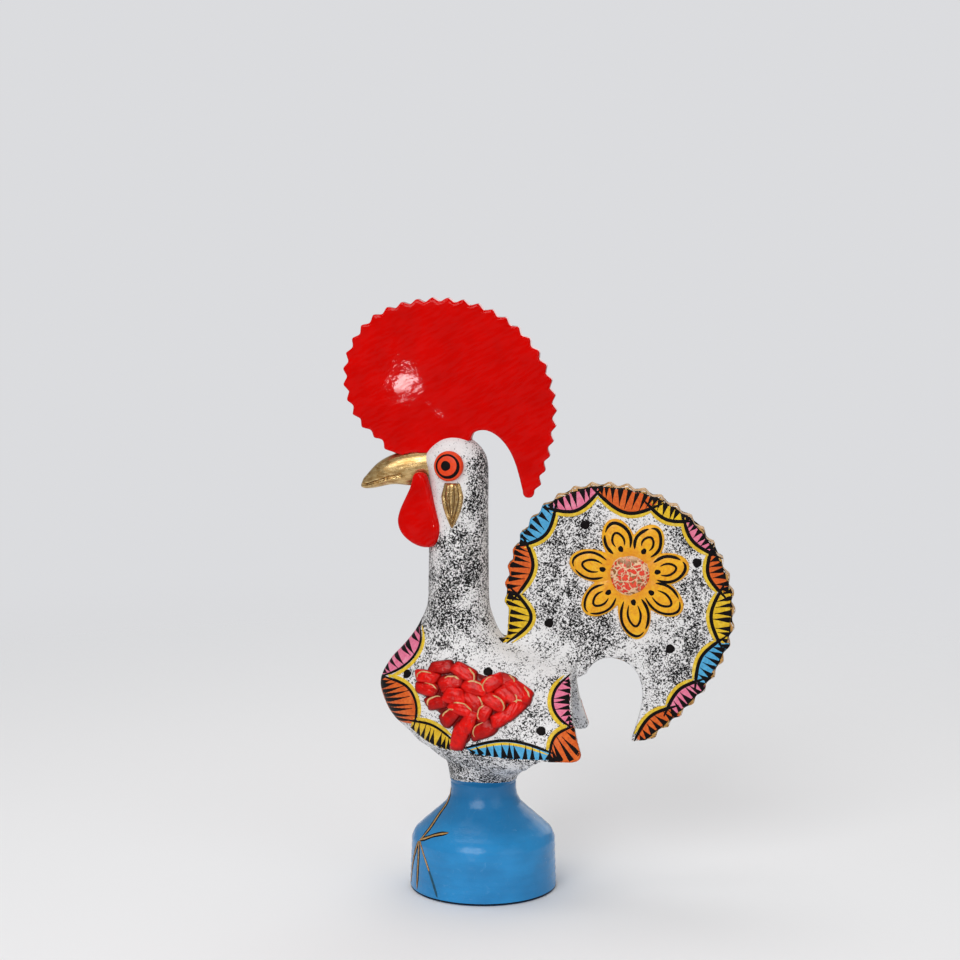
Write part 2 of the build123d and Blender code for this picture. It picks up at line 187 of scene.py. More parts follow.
# Scallops on the wing: colour, inner line, their edge or the point they fan from, rays, side of the halo
WING_CENTRE = (8.0, 68.0)
WING_SCALLOPS = [
    ("yellow", [(-22.6, 59.2), (-15.8, 59.0), (-8.4, 54.6)],
     [(-23.4, 56.3), (-17.6, 52.5), (-8.6, 50.8)], 8, 1),
    ("blue", [(-3.6, 52.4), (9.6, 55.9), (25.2, 52.6)], [(-1.8, 50.8), (10.0, 50.2), (25.0, 50.4)], 11, -1),
    ("orange", [(24.4, 52.2), (26.0, 57.8), (31.4, 60.6)], (22.0, 64.0), 7, 1),
    ("pink", [(29.2, 75.1), (26.0, 72.4), (24.7, 68.2), (27.2, 63.2), (31.0, 60.5)],
     [(29.7, 74.8), (30.3, 71.6), (30.2, 68.3), (31.4, 60.8)], 9, 1),
]

DOTS = [(-24.5, 74.8), (3.2, 77.1), (21.4, 59.4), (22.4, 91.6), (34.3, 124.9), (71.4, 112.8), (62.8, 83.7)]

# Flower: turn and reach of each petal
PETALS = [
    (9.5, 19.8), (61.0, 18.6), (109.0, 19.4), (167.0, 20.6), (220.5, 20.0), (277.0, 22.0), (324.0, 21.2),
]
PETAL_ROOT = 3.4
PETAL_HALF_W = 5.4
FLOWER_RELIEF = 1.5
FLOWER_EYE_R = 5.2
FLOWER_DISC_R = 8.4
BOSS_R = 7.0
BOSS_RELIEF = 3.0
BOSS_SHARES = (0.12, 0.3, 0.5, 0.68, 0.82, 0.92, 0.98, 1.0)
BOSS_SPOKES = 72
BOSS_RIM = 0.96
BOSS_RIM_W = 0.42
BOSS_RIM_H = 0.2
FLOWER_TURNS = 252
FLOWER_RINGS = 22
SLIP_SUNK = 0.4

# Lines on a petal: how far they keep from its tip and sides, half widths, and the size of the seed
PETAL_TIP_INSET = 1.2
PETAL_SIDE_INSET = 1.25
PETAL_WOBBLE = 0.3
PETAL_LINE_W = 0.42
PETAL_LINE_SWELL = 0.7
PETAL_LINE_H = 0.12
SEED_AT = 9.2
SEED_SIZE = (2.6, 2.1)
SEED_H = 0.16

# Slip dabs of the heart: x, z, turn, length and width
HEART_DABS = [
    (-12.4, 77.8, 5, 7.8, 4.6), (-4.7, 76.6, -28, 8.4, 5.0), (-17.2, 74.6, -12, 7.4, 4.4),
    (-17.0, 70.8, -8, 7.2, 4.6), (13.6, 71.2, -38, 9.0, 5.6), (9.6, 74.2, -15, 6.2, 4.8),
    (12.4, 65.9, 48, 8.2, 4.8), (4.8, 73.6, 30, 6.8, 5.4), (-9.2, 73.1, 12, 7.6, 5.4),
    (-0.9, 72.0, -20, 7.8, 5.2), (-13.4, 66.8, 8, 7.6, 4.6), (10.0, 70.0, -32, 7.6, 5.2),
    (-7.6, 69.1, -5, 6.8, 5.6), (-1.3, 68.0, -38, 7.4, 5.2), (5.8, 67.8, -30, 7.8, 5.0),
    (-8.8, 62.6, 40, 7.4, 5.0), (8.2, 62.8, 30, 6.8, 4.8), (-5.0, 65.3, -22, 7.8, 4.6),
    (2.6, 64.4, 75, 5.8, 4.8), (-2.6, 61.2, 60, 7.2, 5.0), (2.2, 58.8, 25, 7.6, 5.6),
    (-5.8, 55.9, 72, 8.4, 5.6),
]
DAB_GROW = (1.3, 1.1)
DAB_RELIEF = 1.15
DAB_STACK = 0.26
DAB_RIDGE = 0.04
DAB_RIDGE_PITCH = (1.2, 2.4)
DAB_TWIST = 20
DAB_LIFT = 0.25
BED_RELIEF = 0.55
BED_RINGS = 9
BED_SPOKES = 89
GILT_START = (-10, 70)
GILT_SWEEPS = (0, 60, 90, 130)
GILT_POINTS = 18
GILT_SHARE = 0.46
GILT_W = (0.2, 0.36)
GILT_STREAK_H = 0.08
HEART_OUTLINE = [
    (16.2, 69.0), (15.0, 73.6), (10.0, 76.6), (4.0, 76.6), (0.6, 77.4), (-4.6, 79.6), (-12.0, 80.6),
    (-18.6, 77.2), (-20.6, 73.0), (-18.8, 68.8), (-15.6, 65.0), (-11.0, 61.0), (-8.8, 57.4), (-8.0, 53.0),
    (-4.2, 52.6), (-1.6, 56.0), (4.4, 57.0), (9.4, 60.4), (14.0, 64.4),
]

# Eyes and ear lobes
EYE_AT = Vector((-10.8, 144.8))
EYE_AIM = Vector((-1.9, -9.7, 0.8))
EYE_R = 5.0
EYE_PROFILE = [
    (1.4, -0.03), (2.6, -0.12), (3.7, -0.28), (4.45, -0.55), (4.85, -0.95), (EYE_R, -1.5), (EYE_R, -2.4),
    (EYE_R - 0.4, -3.6),
]
EYE_SPOKES = 72
EYE_RING_R = 3.75
EYE_RING_W = 0.36
EYE_RING_SWELL = 0.26
EYE_RING_TURN = 0.7
EYE_RING_OVAL = 1.02
EYE_RING_H = 0.12
EYE_PUPIL_R = 1.95
EYE_PUPIL_H = 0.14
EYE_PUPIL_SHIFT = Vector((-0.5, 0.1))
LOBE_X = -9.35
LOBE_TOP_Z = 139.1
LOBE_TIP_Z = 123.9
LOBE_HALF_W = 3.8
LOBE_LEAST_W = 0.12
LOBE_ROWS = 44
LOBE_COLUMNS = 33
LOBE_H = 0.715
LOBE_RIDGE_H = 0.6
LOBE_RIDGE_PITCH = 1.35 / 2.2
LOBE_RIDGE_LEAN = 0.55
LOBE_SUNK = 0.6
LOBE_GROOVES = ((0.62, 0.93), (0.26, 0.80))
LOBE_GROOVE_START = 0.06
LOBE_GROOVE_POINTS = 24
LOBE_GROOVE_W = 0.2
LOBE_GROOVE_H = 0.05

# Pedestal
STEM_TOP_Z = 36.5
COLLAR_Z = 37.7
COLLAR_RISE = 1.2
COLLAR_STEPS = (0.12, 0.35, 0.6, 0.85, 1.0)
COLLAR_WAVE = 0.22
COLLAR_H = 0.07
PEDESTAL_TURNS = 160
FOOT_LEVELS = [0.02, 0.12, 0.3, 0.6, 0.95]
WALL_LEVELS = [1.4 + 0.7 * i for i in range(50)]
PEDESTAL_LUMP = 0.22
FOOT_FADE = 4.0
STEM_FADE = 6.0
SEAT_R = 7.0
FOOT_BEVEL = 0.3
THROW_RING = 0.06
THROW_PITCH = 2.7

# Painted bird's foot, as x and z, with its half widths and heights, and the line round the pedestal's foot
FOOT_LEG = [(-10.7, 34.2), (-11.9, 29.3), (-14.0, 26.4), (-16.3, 23.1), (-20.1, 18.5)]
FOOT_TOES = [
    [(-20.1, 18.5), (-14.6, 21.2), (-9.8, 22.6)],
    [(-20.6, 18.0), (-22.8, 10.6), (-24.0, 2.0)],
    [(-20.3, 18.0), (-20.7, 10.0), (-21.1, 1.6)],
]
FOOT_MIDDLE_TOE = [(-20.0, 18.2), (-16.7, 10.5), (-15.0, 6.6), (-13.2, 1.4)]
LEG_W = 0.62
TOE_W = 0.56
EDGE_OVER = 0.42
EDGE_H = 0.06
GILT_UNDER = 0.2
GILT_H = 0.14
MIDDLE_TOE_W = 0.55
MIDDLE_GILT_W = 0.36
TEAL_H = 0.09
FOOT_LINE_Z = 0.55
FOOT_LINE_W = 0.38
FOOT_LINE_H = 0.05

# Sponged speckle: x, z, spread and weight of its dense and bare patches
SPONGE_BASE = 0.58
SPONGE_RANGE = (-0.6, 1.1)
SPONGE_PATCHES = [
    (26.0, 112.0, 8.0, 0.26), (24.0, 98.0, 9.0, 0.27), (38.0, 89.0, 6.5, 0.78), (29.0, 122.0, 7.0, 0.25),
    (36.0, 127.5, 5.0, 0.3), (73.0, 98.0, 8.0, 0.25), (66.0, 88.0, 7.0, 0.27), (64.0, 74.0, 8.0, 0.25),
    (66.0, 122.0, 5.0, 0.5), (70.0, 107.0, 6.5, 0.36), (0.0, 143.0, 6.0, 0.58), (-2.0, 130.0, 5.0, 0.25),
    (-6.0, 116.0, 8.0, 0.3), (-9.0, 106.0, 8.0, 0.27), (-12.0, 92.0, 7.0, 0.48), (0.0, 42.0, 9.0, 0.32),
    (-12.0, 42.0, 8.0, 0.28), (18.0, 63.0, 6.0, 0.1), (49.8, 108.0, 17.0, -0.5), (22.0, 80.0, 10.0, -0.19),
    (10.0, 84.0, 8.0, -0.10), (-8.0, 68.0, 14.0, -0.24),
]

# The bare face, in front of a leaning line and above a level
FACE_BARE = 1.4
FACE_X = -5.2
FACE_Z = 124.6
FACE_LEAN = 3.6
FACE_LEAN_Z = 137.0
FACE_FADE = 1.3

# Camera, at the photograph's place
CAMERA_AT = (0.07237, -0.69617, 0.220)
CAMERA_AIM = (-0.0008, 0.0, 0.138)
PICTURE = 960
FOCAL_PIXELS = 2108
CENTRE_PIXEL = (481, 483)
SENSOR_W = 36.0

# Lamps: name, place, aim, size and watts
LAMPS = [
    ("glint", (-0.27, -1.11, 0.10), (0, 0, 0.13), 0.06, 0.42),
    ("front", (-0.25, -1.0, 0.75), (0, 0, 0.12), 0.8, 6.9),
    ("fill", (0.8, -0.7, 0.4), (0, 0, 0.1), 0.9, 1.5),
    ("top", (-0.1, 0.15, 1.0), (0, 0, 0.1), 0.8, 3.5),
    ("back", (0.3, 1.0, 0.5), (0, 0, 0.1), 0.9, 1.8),
]
SKY_STRENGTH = 0.37
SURROUND = (0.71, 0.715, 0.735)
FLOOR_TONE = (0.835, 0.835, 0.845)
FLOOR_R = 2.0
FLOOR_SPOKES = 96
FLOOR_FADE = (0.16, 0.7)

rng = random.Random(7)


# Node materials

class Nodes:
    """Short calls that add nodes to a tree and join them."""

    def __init__(self, tree):
        self.tree = tree

    def set(self, node, values):
        """Sets or joins inputs of a node; a colour is given without its alpha."""
        for key, value in values.items():
            socket = node.inputs[key]
            if isinstance(value, bpy.types.NodeSocket):
                self.tree.links.new(value, socket)
            elif socket.type == "RGBA":
                socket.default_value = (*value, 1.0)
            else:
                socket.default_value = value

    def add(self, kind, values, **settings):
        node = self.tree.nodes.new(kind)
        for key, value in settings.items():
            setattr(node, key, value)
        self.set(node, values)
        return node


class Finish(Nodes):
    """A node material in the frame of the ornament."""

    def __init__(self, name, roughness, shine=0.3, metallic=0.0):
        self.material = bpy.data.materials.new(name)
        self.material.use_nodes = True
        super().__init__(self.material.node_tree)
        self.shader = self.tree.nodes["Principled BSDF"]
        self.set(self.shader, {"Roughness": roughness, "Specular IOR Level": shine, "Metallic": metallic})
        self.place = self.tree.nodes.new("ShaderNodeTexCoord").outputs["Object"]

    def grain(self, span_mm, detail=3.0, rough=0.55, stretch=(1, 1, 1), warp=0.0, turn=0.0):
        """Cloudy noise with lumps about span_mm across, drawn out by stretch along axes turned about Y."""
        values = {"Vector": self.place, "Rotation": (0, turn, 0), "Scale": tuple(1 / s for s in stretch)}
        mapped = self.add("ShaderNodeMapping", values, vector_type="TEXTURE")
        values = {"Vector": mapped.outputs[0], "Scale": 1 / (span_mm * MM), "Detail": detail,
                  "Roughness": rough, "Distortion": warp}
        return self.add("ShaderNodeTexNoise", values).outputs["Fac"]

    def remap(self, value, low, high, to_low=0.0, to_high=1.0):
        values = {"Value": value, "From Min": low, "From Max": high, "To Min": to_low, "To Max": to_high}
        return self.add("ShaderNodeMapRange", values).outputs["Result"]

    def height(self):
        """Height in the frame, in metres."""
        return self.add("ShaderNodeSeparateXYZ", {"Vector": self.place}).outputs["Z"]

    def stored(self, name):
        """A value stored at each point of the mesh."""
        return self.add("ShaderNodeAttribute", {}, attribute_name=name).outputs["Fac"]

    def math(self, operation, first, second):
        return self.add("ShaderNodeMath", {0: first, 1: second}, operation=operation).outputs[0]

    def away(self, point):
        """Distance from a point of the frame, in metres."""
        values = {0: self.place, 1: tuple(c * MM for c in point)}
        return self.add("ShaderNodeVectorMath", values, operation="DISTANCE").outputs["Value"]

    def mix(self, share, first, second):
        return self.add("ShaderNodeMix", {0: share, 6: first, 7: second}, data_type="RGBA").outputs[2]

    def bump(self, height, depth_mm, before=None):
        values = {"Height": height, "Strength": 1.0, "Distance": depth_mm * MM}
        if before is not None:
            values["Normal"] = before
        return self.add("ShaderNodeBump", values).outputs["Normal"]

    def finish(self, colour, normal=None, roughness=None):
        values = {"Base Color": colour, "Normal": normal, "Roughness": roughness}
        self.set(self.shader, {key: value for key, value in values.items() if value is not None})
        return self.material


def speckled_clay():
    """Off-white satin paint with sponged black speckle, dense where the sponge attribute is high."""
    f = Finish("speckled_white", 0.42, shine=0.25)
    ground = f.mix(f.grain(14, 3), (0.84, 0.825, 0.82), (0.76, 0.75, 0.755))
    ground = f.mix(f.remap(f.grain(2.2, 4), 0.5, 0.75), ground, (0.70, 0.68, 0.685))
    drift = f.remap(f.grain(6.0, 4, 0.6), 0.3, 0.7, -0.52, 0.48)
    density = f.math("ADD", f.stored("sponge"), drift)
    level = f.remap(density, 0.0, 1.1, 0.665, 0.445)
    excess = f.math("SUBTRACT", f.grain(0.60, 2.0, 0.6, warp=0.8), level)
    mark = f.remap(excess, -0.004, 0.008)
    haze = f.remap(excess, -0.12, 0.02, 0.0, 0.12)
    colour = f.mix(haze, ground, (0.34, 0.33, 0.34))
    colour = f.mix(mark, colour, (0.004, 0.0035, 0.004))
    normal = f.bump(f.grain(6.0, 2), 0.10)
    normal = f.bump(mark, 0.025, normal)
    return f.finish(colour, normal, f.remap(mark, 0.0, 1.0, 0.42, 0.5))


def comb_red():
    """Thick glossy enamel that keeps the slanting furrows of a soft brush, each dull along its bottom."""
    shine = 0.16
    f = Finish("comb_red", 0.045, shine)
    tone = f.mix(f.remap(f.grain(9.0, 3), 0.3, 0.7), (0.66, 0.001, 0.0), (0.55, 0.001, 0.0))
    furrow = f.grain(0.85, 2, 0.55, stretch=(0.14, 0.5, 1.0), warp=0.7, turn=-0.5)
    normal = f.bump(f.grain(3.6, 2, 0.5), 0.03)
    normal = f.bump(furrow, 0.010, normal)
    f.set(f.shader, {"Specular IOR Level": f.remap(furrow, 0.48, 0.53, shine, 0.4 * shine)})
    return f.finish(tone, normal)


def heart_red():
    """Wet-looking red slip, with painted shade in the creases, where the proud attribute is low."""
    f = Finish("heart_red", 0.12, shine=0.2)
    tone = f.mix(f.remap(f.grain(2.2, 3), 0.35, 0.65), (0.80, 0.005, 0.002), (0.52, 0.003, 0.002))
    # Painted shade: the slip darkens to a deep red where it stands low over the clay, in the creases
    # between dabs
    tone = f.mix(f.remap(f.stored("proud"), 0.7, 1.75, 0.95, 0.0), tone, (0.12, 0.001, 0.001))
    slip = f.grain(1.3, 3, 0.6, stretch=(0.5, 0.5, 1.0), warp=0.6, turn=-0.5)
    normal = f.bump(f.grain(1.9, 3, 0.6), 0.32)
    return f.finish(tone, f.bump(slip, 0.1, normal), f.remap(slip, 0.4, 0.6, 0.05, 0.14))


def blue_glaze():
    """Glossy blue with darker cloudy patches, pale patches painted as highlights, painted shade up the stem
    under the body, and pinholes.
    """
    f = Finish("blue_gloss", 0.24, shine=0.3)
    cloud = f.remap(f.grain(13.0, 3, 0.5, stretch=(1, 1, 1.8)), 0.3, 0.7)
    tone = f.mix(cloud, (0.022, 0.262, 0.59), (0.017, 0.202, 0.47))
    # Painted highlights: pale patches that stand in for the lamps' broken reflections on the glaze
    pale_highlight = f.remap(f.grain(3.2, 4, 0.65, warp=1.5), 0.60, 0.78, 0.0, 0.35)
    tone = f.mix(pale_highlight, tone, (0.17, 0.42, 0.68))
    # Painted shade: darker towards the top of the stem, under the body
    tone = f.mix(f.remap(f.height(), 21 * MM, 33 * MM, 0.0, 0.7), tone, (0.010, 0.115, 0.28))
    streak = f.grain(1.3, 3, 0.6, stretch=(0.5, 0.5, 3.0))
    tone = f.mix(f.remap(streak, 0.55, 0.8, 0.0, 0.25), tone, (0.03, 0.16, 0.36))
    normal = f.bump(f.grain(3.4, 4, 0.6), 0.2)
    normal = f.bump(streak, 0.05, normal)
    return f.finish(tone, normal, f.remap(pale_highlight, 0.0, 0.35, 0.18, 0.36))


def gold_paint():
    """Metallic gold brushed over clay, worn to brown in the hollows."""
    f = Finish("gold_paint", 0.3, shine=0.5, metallic=0.9)
    stroke = f.grain(1.2, 3, 0.6, stretch=(0.4, 1.0, 1.4), warp=0.8)
    tone = f.mix(f.remap(stroke, 0.35, 0.65), (0.74, 0.53, 0.25), (0.40, 0.23, 0.075))
    worn = f.remap(f.grain(2.6, 4, 0.6), 0.48, 0.68, 0.0, 0.5)
    tone = f.mix(worn, tone, (0.17, 0.085, 0.02))
    normal = f.bump(stroke, 0.014)
    return f.finish(tone, normal, f.remap(stroke, 0.3, 0.7, 0.22, 0.36))


def brush_paint(name, colour, shade, light, roughness=0.4, shine=0.2):
    """Hand-brushed enamel: streaks of a thinner and a thicker coat in one colour."""
    f = Finish(name, roughness, shine)
    flow = f.grain(1.1, 3, 0.6, warp=0.9)
    tone = f.mix(f.remap(flow, 0.35, 0.65), colour, shade)
    thin = f.remap(f.grain(2.4, 3, 0.6), 0.55, 0.78, 0.0, 0.5)
    tone = f.mix(thin, tone, light)
    normal = f.bump(flow, 0.07)
    return f.finish(tone, normal, f.remap(flow, 0.3, 0.7, roughness - 0.08, roughness + 0.1))


def petal_paint():
    """Golden yellow that deepens to orange round the boss and along brush streaks."""
    f = Finish("flower_yellow", 0.32, shine=0.35)
    flow = f.grain(1.6, 3, 0.6, warp=1.4)
    tone = f.mix(f.remap(flow, 0.38, 0.68), (0.90, 0.46, 0.007), (0.74, 0.27, 0.005))
    thin = f.remap(f.grain(2.8, 3, 0.6), 0.55, 0.75, 0.0, 0.5)
    tone = f.mix(thin, tone, (0.93, 0.62, 0.06))
    apart = f.math("MULTIPLY", f.away((FLOWER.x, 0, FLOWER.y)), 1 / MM)
    tone = f.mix(f.remap(apart, 6.5, 11.5, 0.8, 0.0), tone, (0.72, 0.20, 0.005))
    return f.finish(tone, f.bump(flow, 0.12), f.remap(flow, 0.3, 0.7, 0.24, 0.42))


def boss_glaze():
    """Orange-red glaze in islands, some olive, with cream between them and a painted highlight of cream
    over the top of the boss.
    """
    f = Finish("boss_orange", 0.26, shine=0.4)
    curdle = f.grain(1.5, 4, 0.6, warp=1.8)
    drift = f.add("ShaderNodeTexNoise", {"Vector": f.place, "Scale": 1 / (1.8 * MM), "Detail": 2.0})
    values = {0: drift.outputs["Color"], 1: (2.4 * MM,) * 3}
    shift = f.add("ShaderNodeVectorMath", values, operation="MULTIPLY")
    moved = f.add("ShaderNodeVectorMath", {0: f.place, 1: shift.outputs[0]}, operation="ADD").outputs[0]
    values = {"Vector": moved, "Scale": 1 / (2.5 * MM)}
    island = f.add("ShaderNodeTexVoronoi", values, feature="DISTANCE_TO_EDGE").outputs["Distance"]
    tone = f.mix(f.remap(curdle, 0.40, 0.62), (0.84, 0.075, 0.03), (0.66, 0.02, 0.01))
    olive = f.remap(f.grain(2.6, 2), 0.51, 0.57, 0.0, 0.9)
    tone = f.mix(olive, tone, (0.24, 0.13, 0.035))
    # Painted highlight: cream over the top of the boss, as if lit from above
    painted_top_highlight = f.remap(f.height(), (FLOWER.y + 4.6) * MM, (FLOWER.y + 6.0) * MM)
    line = f.remap(island, 0.04, 0.095, 1.0, 0.0)
    share = f.math("MAXIMUM", f.math("MULTIPLY", painted_top_highlight, f.remap(curdle, 0.35, 0.5, 0.3, 1.0)), line)
    tone = f.mix(share, tone, (0.86, 0.56, 0.34))
    return f.finish(tone, f.bump(line, 0.18, f.bump(curdle, 0.1)))


# Brushed enamels: name, colour, shade and light, then roughness and shine where they aren't the usual ones
ENAMELS = {
    "rim": ("rim_tan", (0.60, 0.33, 0.09), (0.36, 0.17, 0.035), (0.76, 0.54, 0.24)),
    "eye": ("eye_orange", (0.82, 0.070, 0.012), (0.70, 0.04, 0.008), (0.86, 0.12, 0.035), 0.28),
    "yellow": ("scallop_yellow", (0.84, 0.55, 0.02), (0.62, 0.36, 0.012), (0.90, 0.68, 0.10)),
    "orange": ("scallop_orange", (0.76, 0.145, 0.018), (0.58, 0.08, 0.01), (0.86, 0.27, 0.06)),
    "pink": ("scallop_pink", (0.81, 0.22, 0.35), (0.70, 0.14, 0.25), (0.88, 0.46, 0.56)),
    "blue": ("scallop_blue", (0.095, 0.43, 0.71), (0.055, 0.30, 0.56), (0.24, 0.58, 0.82)),
    "halo": ("halo_yellow", (0.83, 0.58, 0.04), (0.62, 0.38, 0.02), (0.88, 0.74, 0.26)),
    "black": ("black_line", (0.004, 0.003, 0.004), (0.008, 0.006, 0.006), (0.014, 0.011, 0.011), 0.5, 0.06),
    "teal": ("dark_teal", (0.012, 0.09, 0.15), (0.008, 0.05, 0.09), (0.02, 0.15, 0.25)),
    "toe": ("toe_gold", (0.56, 0.32, 0.10), (0.34, 0.17, 0.045), (0.74, 0.52, 0.26), 0.3, 0.5),
    "pale_gold": ("pale_gold", (0.76, 0.50, 0.22), (0.46, 0.22, 0.06), (0.88, 0.72, 0.46), 0.3, 0.5),
    "cream": ("boss_cream", (0.88, 0.66, 0.42), (0.66, 0.36, 0.15), (0.92, 0.82, 0.64), 0.3, 0.4),
    # Brown laid along the mouth slit and the ear lobe grooves, as painted shade in these hollows
    "brown": ("groove_shade_brown", (0.13, 0.055, 0.012), (0.08, 0.03, 0.006), (0.20, 0.10, 0.03)),
}


def build_finishes():
    own = {"clay": speckled_clay(), "comb": comb_red(), "heart": heart_red(), "glaze": blue_glaze(),
           "gold": gold_paint(), "flower": petal_paint(), "boss": boss_glaze()}
    return own | {key: brush_paint(*row) for key, row in ENAMELS.items()}


# Meshes

def placed(name, data):
    """A new object in the scene."""
    thing = bpy.data.objects.new(name, data)
    bpy.context.scene.collection.objects.link(thing)
    return thing


def add_piece(name, mesh, finishes, replaced=()):
    """A finished piece of the ornament, riding with its one body."""
    for finish in finishes:
        mesh.materials.append(finish)
    mesh.polygons.foreach_set("use_smooth", [True] * len(mesh.polygons))
    piece = placed(name, mesh)
    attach(piece, "root")
    if replaced:
        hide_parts(*replaced)
    return piece


def lay(name, pile, finish, replaced=()):
    """A piece made of a pile of closed shapes, and its surface for what is laid on it next."""
    mesh = pile.mesh(name)
    add_piece(name, mesh, [finish], replaced)
    return Surface(mesh)


def turns(count):
    """Angles spread evenly round a circle."""
    return [2 * math.pi * i / count for i in range(count)]


def ray(angle):
    """Unit vector at an angle in a plane."""
    return Vector((math.cos(angle), math.sin(angle)))


class Pile:
    """Small closed shapes gathered into one mesh, in millimetres."""

    def __init__(self):
        self.points = []
        self.faces = []

    def loops(self, loops, closed=False, strips=False):
        """Skin over a row of point loops, capped at both ends unless the row is closed.

        A cap is one face, or a strip of quads where the loops run out and back."""
        base = len(self.points)
        rows, count = len(loops), len(loops[0])
        for loop in loops:
            self.points.extend(loop)
        for i in range(rows if closed else rows - 1):
            here, there = base + i * count, base + (i + 1) % rows * count
            for j in range(count):
                k = (j + 1) % count
                self.faces.append((here + j, here + k, there + k, there + j))
        if closed:
            return
        for start, turn in ((base, -1), (base + (rows - 1) * count, 1)):
            if strips:
                for j in range(count // 2 - 1):
                    quad = (start + j, start + j + 1, start + count - 2 - j, start + count - 1 - j)
                    self.faces.append(quad[::turn])
            else:
                self.faces.append(tuple(range(start, start + count))[::turn])

    def mesh(self, name):
        mesh = bpy.data.meshes.new(name)
        mesh.from_pydata([tuple(c * MM for c in p) for p in self.points], [], self.faces)
        work = bmesh.new()
        work.from_mesh(mesh)
        bmesh.ops.remove_doubles(work, verts=work.verts, dist=1e-7)
        bmesh.ops.recalc_face_normals(work, faces=work.faces)
        work.to_mesh(mesh)
        work.free()
        return mesh


class Surface:
    """A finished surface that slip and paint are laid on, in millimetres."""

    def __init__(self, mesh):
        points = [v.co / MM for v in mesh.vertices]
        self.tree = BVHTree.FromPolygons(points, [p.vertices for p in mesh.polygons])

    def cast(self, start, direction):
        place, normal, _, _ = self.tree.ray_cast(Vector(start), Vector(direction))
        return None if place is None else (place, normal)

    def beside(self, x, z, side):
        """Where a line across the ornament first meets the surface from one side."""
        return self.cast((x, side * FAR, z), (0, -side, 0))

    def around(self, out, z):
        """Where a level line towards the axis of the pedestal first meets the surface."""
        return self.cast(out * FAR + Vector((0, 0, z)), -out)[0]

    def near(self, point):
        place, normal, _, _ = self.tree.find_nearest(Vector(point))
        return place, normal

    def line(self, points, side, widest=FAR):
        """Points on one side of the surface for a line drawn in x and z: its longest unbroken run."""
        runs = [[]]
        for x, z in points:
            hit = self.beside(x, z, side)
            if hit is not None and abs(hit[0].y) > widest:
                hit = None
            if runs[-1] and (hit is None or abs(hit[0].y - runs[-1][-1].y) > DROP):
                runs.append([])
            if hit is not None:
                runs[-1].append(hit[0])
        return max(runs, key=len)

    def edge_from(self, x, z, outward, side, widest):
        """The last place outward from x and z before the surface ends, drops away or grows too wide."""
        def beyond(distance, depth):
            hit = self.beside(x + outward[0] * distance, z + outward[1] * distance, side)
            if hit is None or abs(hit[0].y - depth) > DROP or abs(hit[0].y) > widest:
                return None
            return hit[0].y

        depth = self.beside(x, z, side)[0].y
        low, high = 0.0, EDGE_STEP
        while high < EDGE_REACH:
            found = beyond(high, depth)
            if found is None:
                break
            low, depth, high = high, found, high + EDGE_STEP
        for _ in range(EDGE_ROUNDS):
            middle = (low + high) / 2
            if beyond(middle, depth) is None:
                high = middle
            else:
                low = middle
        return x + outward[0] * low, z + outward[1] * low


def curve_through(points, count):
    """Evenly spread points on a smooth curve through a few given ones."""
    p = np.array([tuple(point) for point in points], float)
    step = np.linalg.norm(np.diff(p, axis=0), axis=1)
    knots = np.concatenate([[0.0], np.cumsum(step)])
    n = len(p)
    system, right = np.eye(n), np.zeros_like(p)
    for i in range(1, n - 1):
        system[i, i - 1:i + 2] = step[i - 1], 2 * (step[i - 1] + step[i]), step[i]
        right[i] = 6 * ((p[i + 1] - p[i]) / step[i] - (p[i] - p[i - 1]) / step[i - 1])
    bend = np.linalg.solve(system, right)
    at = np.linspace(0, knots[-1], count)
    i = np.clip(np.searchsorted(knots, at, side="right") - 1, 0, n - 2)
    span = step[i][:, None]
    a = (knots[i + 1] - at)[:, None] / span
    b = 1 - a
    return a * p[i] + b * p[i + 1] + ((a**3 - a) * bend[i] + (b**3 - b) * bend[i + 1]) * span**2 / 6


def lengthened(points, run_out, step=0.4):
    """A line with straight run-outs at its two ends."""
    steps = np.arange(run_out, 0, -step)[:, None]
    head = (points[0] - points[1]) / np.linalg.norm(points[0] - points[1])
    tail = (points[-1] - points[-2]) / np.linalg.norm(points[-1] - points[-2])
    return np.vstack([points[0] + head * steps, points, points[-1] + tail * steps[::-1]])


# A brush stroke's section: share of the half width and share of the height, with its edges sunk in the clay
STROKE_SECTION = [
    (-1.0, -1.0), (-0.93, 0.45), (-0.5, 0.95), (0.0, 1.0), (0.5, 0.95), (0.93, 0.45), (1.0, -1.0),
]


def stroke(pile, surface, line, half_widths, height, closed=False):
    """Domed brush stroke along points of a surface, with its own half width at each point."""
    count = len(line)
    if count < 3:
        return
    loops = []
    for i, point in enumerate(line):
        if closed:
            along = line[(i + 1) % count] - line[i - 1]
        else:
            along = line[min(i + 1, count - 1)] - line[max(i - 1, 0)]
        place, normal = surface.near(point)
        across = normal.cross(along)
        if across.length < 1e-9:
            continue
        across.normalize()
        loop = []
        for share, rise in STROKE_SECTION:
            foot, _ = surface.near(place + across * share * half_widths[i])
            loop.append(foot + normal * (rise * height if rise > 0 else -SUNK))
        loops.append(loop)
    pile.loops(loops, closed)


def tapered(count, width, start, end, power=0.6):
    """Half widths of a stroke that swells from its start and thins to its end."""
    shares = np.linspace(0, 1, count)
    swell = np.minimum(1, start + (1 - start) * (shares / TAPER) ** power)
    thin = np.minimum(1, end + (1 - end) * ((1 - shares) / TAPER) ** power)
    return width * np.minimum(swell, thin)


def brush(pile, surface, points, side, half_width, height, ends=(0.15, 0.15), power=0.6, widest=FAR):
    """Tapered stroke along a line drawn in x and z on one side of a surface."""
    line = surface.line(points, side, widest)
    stroke(pile, surface, line, tapered(len(line), half_width, *ends, power), height)


def wedge(count, width):
    """Half widths of a stroke that is broad at its start and runs out to a point."""
    shares = np.linspace(0, 1, count)
    return np.maximum(width * (1 - shares) ** 1.1, RAY_POINT_W)


